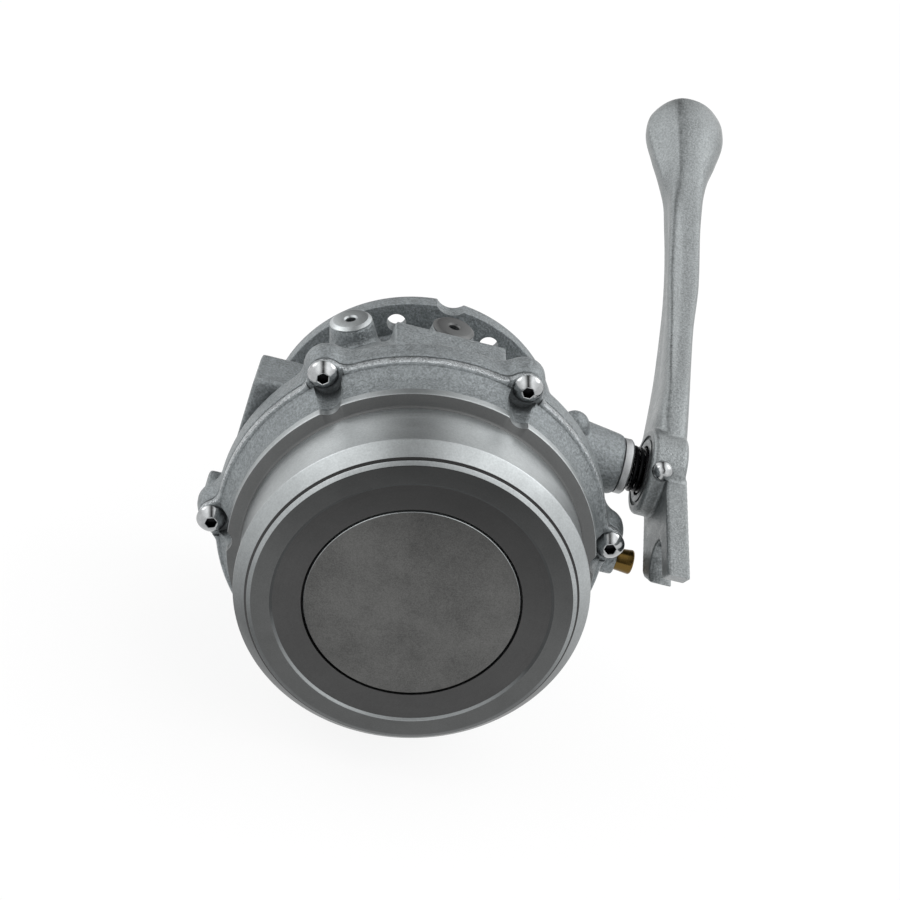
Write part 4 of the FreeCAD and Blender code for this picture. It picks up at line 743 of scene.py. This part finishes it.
def screw_surface(angle, turned):
    """A button-head screw: rows of a hexagon's outline make the socket, and circles the head and shank.
    The hexagon's radius at angle t is half its flats over the cosine of t to the nearest flat, and the
    head's height is that of a sphere. The inside of the socket is its own zone, painted black as shade."""
    turn = np.linspace(0, 2 * np.pi, 96, endpoint=False)
    flat = (turn + turned + np.pi / 6) % (np.pi / 3) - np.pi / 6
    hexagon, one = 2.5 / np.cos(flat), np.ones(len(turn))
    rows = [(1.6, hexagon * 0.96), (1.75, hexagon), (4.35, hexagon), (4.55, hexagon + 0.25),
            (4.55, 3.2 * one)]
    dome = np.array([3.4, 3.8, 4.4, 5.0, 5.6, 6.1, 6.5, 6.8, 7.05, 7.2])
    rows += [(math.sqrt(62.1 - radius * radius) - 2.65, radius * one) for radius in dome]
    rows += [(0.05, 7.2 * one), (0, 4 * one), (-16.5, 4 * one)]
    x, z = SCREW_CIRCLE * math.sin(angle), SCREW_CIRCLE * math.cos(angle)
    grid = np.stack([np.stack([x + radius * np.sin(turn), at(SCREW_SEAT - height) * one,
                               z + radius * np.cos(turn)], axis=-1) for height, radius in rows])
    # The socket's inside takes black steel: painted shade in the recess.
    zones = np.zeros(len(rows) + 1, dtype=int)
    zones[[0, 1, len(rows) - 1]] = 1
    return grid_mesh(grid, cap_start=True, cap_end=True), np.repeat(zones, len(turn))


ARM_ANGLE = math.radians(17.5)
ARM_TABLE = np.array([
    # share of the length, middle from the hub's face, half width, half height
    (0.0, 11.1, 8.4, 18.9), (0.09, 11.1, 8.4, 20.2), (0.145, 12.1, 7.4, 20.0), (0.26, 14.3, 6.8, 14.7),
    (0.35, 15.6, 6.7, 12.2), (0.46, 17.5, 7.6, 9.3), (0.67, 17.5, 8.6, 9.3), (0.73, 17.5, 9.8, 9.8),
    (0.79, 17.0, 13.1, 11.5), (0.85, 17.0, 17.7, 14.1), (0.92, 17.0, 21.1, 16.0), (0.955, 17.0, 19.2, 15.0),
    (0.985, 17.0, 12.7, 11.5), (1.0, 17.0, 5.5, 6.4),
])


def arm_surface(length):
    """The arm and its knob: soft-cornered sections carried along the arm, each a curve whose width and
    height, each over its half and raised to a power, add up to one. The halves and the power follow
    smooth curves along the arm. A shallow hollow, a half wave of the angle, runs down the knob."""
    tip = 0.97 + 0.03 * np.sin(np.linspace(0.05, np.pi / 2, 12))
    share = np.concatenate([np.linspace(0, 0.7, 60), np.linspace(0.71, 0.97, 60), tip])
    middle, half_x, half_z = (curve_through(ARM_TABLE[:, 0], ARM_TABLE[:, n], share)[:, None]
                              for n in (1, 2, 3))
    a = np.linspace(0, 2 * np.pi, 72, endpoint=False)[None, :]
    power = curve_through([0, 0.25, 0.65, 0.8, 1.0], [3, 5, 5, 2.6, 2.2], share)[:, None]
    size = (np.abs(np.cos(a)) ** power + np.abs(np.sin(a)) ** power) ** (1 / power)
    hollow = np.cos(np.clip((a - math.radians(143)) * 3.0, -np.pi / 2, np.pi / 2))
    size *= 1 + hollow * curve_through([0, 0.72, 0.80, 0.92, 1.0], [0, 0, 0.2, 0.16, 0], share)[:, None]
    across, up = half_x * np.cos(a) / size, half_z * np.sin(a) / size
    along = share[:, None] * length
    return np.stack([HUB_X + middle + across,
                     SHAFT_Y + along * math.cos(ARM_ANGLE) - up * math.sin(ARM_ANGLE),
                     SHAFT_Z + along * math.sin(ARM_ANGLE) + up * math.cos(ARM_ANGLE)], axis=-1)


# The forked tail's outline as places from the shaft, along Y and Z
TAIL = np.array([(0.5, -21.2), (-39.1, -32.2), (-42.6, -32.0), (-44.7, -31.6), (-60.2, -24.5), (-50.8, -22.6),
                 (-45.6, -19.3), (-44.3, -13.3), (-47.6, -8.1), (-53.6, -6.8), (-76.7, -10.9), (-85.5, -2.6),
                 (-16.0, 10.0)])


def handle_forms(length):
    """Closed forms of the handle's casting: the arm with its knob, the hub and the forked tail."""
    back = HUB_X + 18
    hub = [(0, HUB_X), (20.3, HUB_X), (21.5, HUB_X + 1.6), (21.5, back - 1.5), (20, back), (0, back)]
    return [grid_mesh(arm_surface(length), cap_start=True, cap_end=True), solid_lathe(hub, 0.3, 128, **SHAFT),
            prism(TAIL + (SHAFT_Y, SHAFT_Z), HUB_X + 8.3, HUB_X + 19.3, 0)]


def handle_cutters():
    """The hub's recess for the spring, the groove about it and the bore for the shaft."""
    groove = [(15.6, HUB_X), (15.6, HUB_X - 5), (17.6, HUB_X - 5), (17.6, HUB_X + 1.0), (15.6, HUB_X + 1.0),
              (15.6, HUB_X)]
    return [rod(12.5, HUB_X - 5, HUB_X + 2.8, 96, **SHAFT), ring_lathe(groove, 0.2, 96, **SHAFT),
            rod(7.5, HUB_X - 6, HUB_X + 30, 96, **SHAFT)]


# Sizes and colours that a user would change

def colour_property(name, code, description):
    """A colour to choose, with an sRGB code as its default."""
    return FloatVectorProperty(name=name, description=description, subtype="COLOR", size=3, min=0, max=1,
                               default=linear(code))


def length_property(name, millimetres, description):
    """A length to choose, which Blender keeps in metres."""
    return FloatProperty(name=name, description=description, unit="LENGTH", default=millimetres * MM)


class ValveColours(bpy.types.PropertyGroup):
    casting: colour_property("Casting", "#7f8486", "Blasted cast aluminium of head and body")
    edge: colour_property("Flash edge", "#9da1a3", "Chipped edge of the head at the joint")
    joint_dirt_and_shade: colour_property("Joint dirt and shade", "#2b2d2e", "Dirt in the joint of head and body")
    lever: colour_property("Lever", "#828687", "Blasted cast aluminium of the handle")
    machined: colour_property("Machined", "#a8acad", "Turned aluminium of the coupling nose")
    nose_face: colour_property("Nose face", "#565757", "Dull face of the coupling nose")
    annulus: colour_property("Annulus", "#454545", "Dark ring round the poppet")
    poppet: colour_property("Poppet", "#575756", "Worn face of the poppet")
    zinc: colour_property("Zinc", "#a9abac", "Plated screws, washer, pin and shaft")
    spring: colour_property("Spring", "#1c1c1d", "Black spring wire")
    brass: colour_property("Brass", "#66522b", "Side plug")
    rubber: colour_property("Rubber", "#1d1d1e", "Seals")
    polymer: colour_property("Polymer", "#3b3a36", "Bushes and thrust washer")
    floor: colour_property("Floor", "#f2f2f2", "Studio floor")


class ValveSizes(bpy.types.PropertyGroup):
    arm_length: length_property("Arm length", 272.0, "From the shaft to the tip of the knob")
    casting_grain: length_property("Casting voxel", 1.2, "Fineness of the body casting")
    lever_grain: length_property("Lever voxel", 0.75, "Fineness of the handle casting")
    spring_radius: length_property("Spring radius", 10.2, "Middle of the wire of the spring on the shaft")
    wire_radius: length_property("Wire radius", 1.2, "Wire of the spring on the shaft")
    poppet_wire: length_property("Poppet wire radius", 1.9, "Wire of the spring behind the poppet")


# Operators

class VALVE_OT_head(bpy.types.Operator):
    """Adds the adaptor head with its nose, driver pockets and lugs"""
    bl_idname = "valve.head"
    bl_label = "Adaptor head"

    def execute(self, context):
        mesh, zones = head_surface()
        piece("adaptor_head_skin", mesh, "housing", HEAD_FINISHES, ("adaptor_head",), zones=zones, angle=40)
        return {"FINISHED"}


class VALVE_OT_body(bpy.types.Operator):
    """Adds the body's casting, rim, flange, inner boss and machined faces"""
    bl_idname = "valve.body"
    bl_label = "Valve body"

    def execute(self, context):
        holes, bore = casting_cutters()
        casting = cast_from(casting_forms(), context.scene.valve_sizes.casting_grain / MM, 5)
        casting = cut_away(casting, [joined(holes + flange_cutters(0.4)), bore])
        flange = ring_lathe([(THROAT, 158), (THROAT, FLANGE_FRONT), (FLANGE_RADIUS, FLANGE_FRONT),
                             (FLANGE_RADIUS, LENGTH), (THROAT, LENGTH), (THROAT, 158)], 0.8)
        flange = cut_away(flange, [joined(flange_cutters(0.0))])
        inner = ring_lathe([(10, 28), (10, 27.6), (13.5, 27.6), (13.5, 64), (10, 64), (10, 28)], 0.4, 96,
                           **SHAFT)
        piece("body_casting", casting, "housing", CAST, ("valve_body",))
        piece("body_rim", rim_surface(), "housing", CAST, angle=40)
        piece("body_flange", flange, "housing", CAST)
        piece("inner_boss", inner, "housing", CAST)
        # The upper tapped face takes painted shade, the side one bare machined metal.
        for name, top, where, look in (("upper_tapped_face", 77.0, UPPER_BOSS, PAINTED_SHADE_FACE),
                                       ("side_tapped_face", 0.0, SIDE_BOSS, MACHINED)):
            piece(name, tapped_face(top, where), "housing", look, angle=20)
        return {"FINISHED"}


class VALVE_OT_screws(bpy.types.Operator):
    """Adds the six button-head screws of the head"""
    bl_idname = "valve.screws"
    bl_label = "Head screws"

    def execute(self, context):
        screws, zones = zip(*[screw_surface(angle, 0.35 * n) for n, angle in enumerate(SCREW_ANGLES)])
        # The sockets take black steel as painted shade.
        piece("button_head_screws", joined(screws), "housing", [ZINC, BLACK], ("head_screws",), angle=35,
              zones=np.concatenate(zones))
        return {"FINISHED"}


class VALVE_OT_poppet(bpy.types.Operator):
    """Adds the poppet's face with its bright edge"""
    bl_idname = "valve.poppet"
    bl_label = "Poppet"

    def execute(self, context):
        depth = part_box("poppet_disc")[1][1] / MM + LENGTH
        profile = rounded([(0.01, 0), (POPPET, 0), (POPPET, depth), (0.01, depth)], 0.6)
        edge = (profile[:, 0] > POPPET - 0.6) & (profile[:, 1] < depth / 2)
        disc = lathe(profile, 256)
        piece("poppet_face", grid_mesh(disc, wrap_v=True), "poppet", ["worn poppet face", MACHINED],
              ("poppet_disc",), zones=np.repeat(edge.astype(int), disc.shape[1]))
        return {"FINISHED"}


class VALVE_OT_handle(bpy.types.Operator):
    """Adds the cast handle with its knob, hub and forked tail"""
    bl_idname = "valve.handle"
    bl_label = "Handle"

    def execute(self, context):
        sizes = context.scene.valve_sizes
        handle = cast_from(handle_forms(sizes.arm_length / MM), sizes.lever_grain / MM, 3)
        handle = cut_away(handle, handle_cutters())
        piece("handle_casting", handle, "lever", "blasted lever casting", ("handle",))
        return {"FINISHED"}


class VALVE_OT_handle_pin(bpy.types.Operator):
    """Adds the domed pin that crosses the hub and the shaft"""
    bl_idname = "valve.handle_pin"
    bl_label = "Handle pin"

    def execute(self, context):
        lean = math.radians(35)
        profile = [(0, -20.5), (2.5, -20.5), (2.5, 20), (5.0, 20), (5.15, 22.0), (4.6, 24.6), (3.2, 26.6),
                   (0, 27.85)]
        dome = solid_lathe(profile, 1.2, 64, centre=(HUB_X + 5.6, SHAFT_Y, SHAFT_Z),
                           axis=(0.0, -math.cos(lean), math.sin(lean)))
        piece("domed_cross_pin", dome, "lever", ZINC, ("handle_pin",))
        return {"FINISHED"}


class VALVE_OT_gland_washer(bpy.types.Operator):
    """Adds the washer on the end of the shaft's boss"""
    bl_idname = "valve.gland_washer"
    bl_label = "Gland washer"

    def execute(self, context):
        hole = 7.55
        washer = ring_lathe([(hole, 95), (hole, 94), (13.7, 94), (13.7, 97.6), (12.7, 98.6), (hole, 98.6),
                             (hole, 95)], 0.3, 128, **SHAFT)
        piece("gland_ring", washer, "housing", "dull zinc plate", ("gland_washer",))
        return {"FINISHED"}


class VALVE_OT_shaft_spring(bpy.types.Operator):
    """Adds the black wire spring between the washer and the handle"""
    bl_idname = "valve.shaft_spring"
    bl_label = "Shaft spring"

    def execute(self, context):
        sizes = context.scene.valve_sizes
        coil = helix_tube(100.1, 107.2, sizes.spring_radius / MM, sizes.wire_radius / MM, 2.75, 0.6)
        piece("shaft_coil", grid_mesh(coil, cap_start=True, cap_end=True), "housing", BLACK,
              ("shaft_spring",))
        return {"FINISHED"}


class VALVE_OT_side_plug(bpy.types.Operator):
    """Adds the brass plug with its hollow end"""
    bl_idname = "valve.side_plug"
    bl_label = "Side plug"

    def execute(self, context):
        plug = solid_lathe([(0, 94.6), (4.6, 94.6), (4.6, 103.5), (5.3, 103.5), (5.5, 106.0), (6.1, 111.6),
                            (5.6, 112.3), (2.5, 112.3), (2.5, 106.3), (0, 106.3)], 0.3, 96, **SIDE_PORT)
        piece("brass_plug", plug, "housing", "turned brass", ("side_plug",))
        return {"FINISHED"}


class VALVE_OT_poppet_spring(bpy.types.Operator):
    """Adds the conical spring that closes the poppet"""
    bl_idname = "valve.poppet_spring"
    bl_label = "Poppet spring"

    def execute(self, context):
        low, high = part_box("poppet_spring")
        wire = context.scene.valve_sizes.poppet_wire / MM
        coil = conical_coil(low[1] / MM + wire, high[1] / MM - wire, 44.0, 18.6, wire, 4.5)
        spring = piece("poppet_coil", grid_mesh(coil, cap_start=True, cap_end=True), "housing", BLACK,
                       ("poppet_spring",))
        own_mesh(spring)
        return {"FINISHED"}


INSIDE_FINISHES = {
    "nitrile rubber": ("joint_seal", "poppet_seal", "shaft_seals"),
    "bearing polymer": ("guide_bush", "inner_bush", "outer_bush", "thrust_washer"),
    MACHINED: ("stem_guide", "seal_retainer"),
    ZINC: ("retainer_screws", "poppet_stem", "stem_yoke", "crank_arm", "crank_pin", "crank_roller",
           "crank_dowel", "operating_shaft"),
    BLACK: ("crank_clip",),
}


class VALVE_OT_mechanism(bpy.types.Operator):
    """Gives each piece of the mechanism its finish"""
    bl_idname = "valve.mechanism"
    bl_label = "Mechanism"

    def execute(self, context):
        for look, names in INSIDE_FINISHES.items():
            for name in names:
                mesh = bpy.data.objects[name].data
                mesh.materials.clear()
                mesh.materials.append(finish(look))
        return {"FINISHED"}


# Studio

def floor_material():
    """A pale studio floor, which rays from the camera, metal and glass see as white but for shadows."""
    material, tree, _ = start_material("studio floor")
    paths = add(tree, "LightPath").outputs
    seen = add(tree, "Math", {"operation": "MAXIMUM"}, {0: paths["Is Camera Ray"], 1: paths["Is Glossy Ray"]})
    seen = add(tree, "Math", {"operation": "MAXIMUM"}, {0: seen, 1: paths["Is Transmission Ray"]})
    glowing = add(tree, "Math", {"operation": "MULTIPLY", 1: 0.88}, {0: seen})
    matt = add(tree, "BsdfDiffuse", {"Color": shade(bpy.context.scene.valve_colours.floor, 1)})
    glow = add(tree, "Emission", {"Color": (1, 1, 1, 1), "Strength": 1})
    mixed = add(tree, "MixShader", links={0: glowing, 1: matt, 2: glow})
    add(tree, "OutputMaterial", links={"Surface": mixed})
    return material


def studio_world():
    """A pale studio: a long soft light along the left and one along the right, brighter higher up, with
    a dark gap between them overhead. Across is a direction's distance from the gap."""
    world = bpy.data.worlds.new("studio")
    bpy.context.scene.world = world
    world.use_nodes = True
    tree = world.node_tree
    tree.nodes.clear()
    parts = add(tree, "SeparateXYZ", links={0: add(tree, "TexCoord").outputs["Generated"]}).outputs
    across = add(tree, "Math", {"operation": "MULTIPLY_ADD", 1: 0.28, 2: -0.03}, {0: parts["Z"]})
    across = add(tree, "Math", {"operation": "MULTIPLY_ADD", 1: 0.96}, {0: parts["X"], 2: across})
    across = add(tree, "Math", {"operation": "ABSOLUTE"}, {0: across})
    beside = add(tree, "MapRange", {"From Min": 0.6, "To Min": 1, "To Max": 0.7}, {"Value": across})
    above = add(tree, "MapRange", {"From Min": 0.2, "From Max": 0.8, "To Min": 1, "To Max": 1.3},
                {"Value": parts["Z"]})
    fall = add(tree, "Math", {"operation": "MULTIPLY"}, {0: beside, 1: above})
    strip = add(tree, "MapRange", {"From Min": 0.06, "From Max": 0.46, "To Min": 0.07, "To Max": 1.45},
                {"Value": across})
    level = add(tree, "Math", {"operation": "MULTIPLY"}, {0: strip, 1: fall})
    light = add(tree, "Background", {"Color": (1, 1, 1, 1)}, {"Strength": level})
    add(tree, "OutputWorld", links={"Surface": light})


def placed(right, up, back, place):
    """A matrix from the three directions of an object and its place."""
    return Matrix([[right[n], up[n], back[n], place[n]] for n in range(3)] + [[0, 0, 0, 1]])


def area_lamp(name, place, width, power):
    """A round lamp, placed and sized in metres, whose negative Z axis points at the origin."""
    data = bpy.data.lights.new(name, "AREA")
    data.shape, data.size, data.energy = "DISK", width, power
    back = np.array(place) / np.linalg.norm(place)
    right = np.cross((0.0, 0.0, 1.0), back)
    right /= np.linalg.norm(right)
    lamp = bpy.data.objects.new(name, data)
    lamp.matrix_world = placed(right, np.cross(back, right), back, place)
    bpy.context.scene.collection.objects.link(lamp)


# The camera's directions and its place in metres, which show the valve as the photograph does
CAMERA_RIGHT, CAMERA_UP = (0.959505, -0.014339, 0.281327), (-0.234431, 0.513073, 0.825711)
CAMERA_BACK, CAMERA_PLACE = (-0.156181, -0.858225, 0.488934), (-0.2223136, -1.3525873, 0.7602532)
CAMERA_SENSOR, CAMERA_LENS, CAMERA_END = 36.0, 123.87, 30.0
FLOOR_HALF = 9000.0
FLOOR_DEPTH = 20.0


class VALVE_OT_stage(bpy.types.Operator):
    """Adds the floor, the light and the camera"""
    bl_idname = "valve.stage"
    bl_label = "Studio"

    def execute(self, context):
        scene = context.scene
        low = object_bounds()[0][2] / MM
        corners = [(x * FLOOR_HALF, y * FLOOR_HALF) for x, y in ((-1, -1), (1, -1), (1, 1), (-1, 1))]
        floor = prism(corners, low - FLOOR_DEPTH, low, 2)
        floor.materials.append(floor_material())
        made = bpy.data.objects.new("studio_floor", floor)
        scene.collection.objects.link(made)
        made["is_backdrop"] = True
        studio_world()
        area_lamp("left_lamp", (-1.6, 0.3, 0.8), 1.0, 4)
        area_lamp("right_lamp", (1.3, 0.2, 1.3), 1.0, 6)
        data = bpy.data.cameras.new("camera")
        data.sensor_width, data.lens, data.clip_end = CAMERA_SENSOR, CAMERA_LENS, CAMERA_END
        camera = bpy.data.objects.new("camera", data)
        camera.matrix_world = placed(CAMERA_RIGHT, CAMERA_UP, CAMERA_BACK, CAMERA_PLACE)
        scene.collection.objects.link(camera)
        scene.camera = camera
        scene.view_settings.view_transform = "Standard"
        return {"FINISHED"}


OPERATORS = (VALVE_OT_head, VALVE_OT_body, VALVE_OT_screws, VALVE_OT_poppet, VALVE_OT_handle,
             VALVE_OT_handle_pin, VALVE_OT_gland_washer, VALVE_OT_shaft_spring, VALVE_OT_side_plug,
             VALVE_OT_poppet_spring, VALVE_OT_mechanism, VALVE_OT_stage)


class VALVE_PT_panel(bpy.types.Panel):
    """Lists the sizes, the colours and the steps"""
    bl_idname = "VALVE_PT_panel"
    bl_label = "Adaptor valve"
    bl_space_type = "VIEW_3D"
    bl_region_type = "UI"
    bl_category = "Valve"

    def draw(self, context):
        for group in (context.scene.valve_sizes, context.scene.valve_colours):
            for name in group.__annotations__:
                self.layout.prop(group, name)
        for operator in OPERATORS:
            self.layout.operator(operator.bl_idname)


CLASSES = (ValveColours, ValveSizes) + OPERATORS + (VALVE_PT_panel,)


def register():
    for made in CLASSES:
        bpy.utils.register_class(made)
    bpy.types.Scene.valve_colours = PointerProperty(type=ValveColours)
    bpy.types.Scene.valve_sizes = PointerProperty(type=ValveSizes)


def unregister():
    del bpy.types.Scene.valve_sizes
    del bpy.types.Scene.valve_colours
    for made in reversed(CLASSES):
        bpy.utils.unregister_class(made)


def main():
    """Registers the add-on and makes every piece."""
    register()
    bpy.ops.valve.head()
    bpy.ops.valve.body()
    bpy.ops.valve.screws()
    bpy.ops.valve.poppet()
    bpy.ops.valve.handle()
    bpy.ops.valve.handle_pin()
    bpy.ops.valve.gland_washer()
    bpy.ops.valve.shaft_spring()
    bpy.ops.valve.side_plug()
    bpy.ops.valve.poppet_spring()
    bpy.ops.valve.mechanism()
    bpy.ops.valve.stage()


if __name__ == "__main__":
    main()
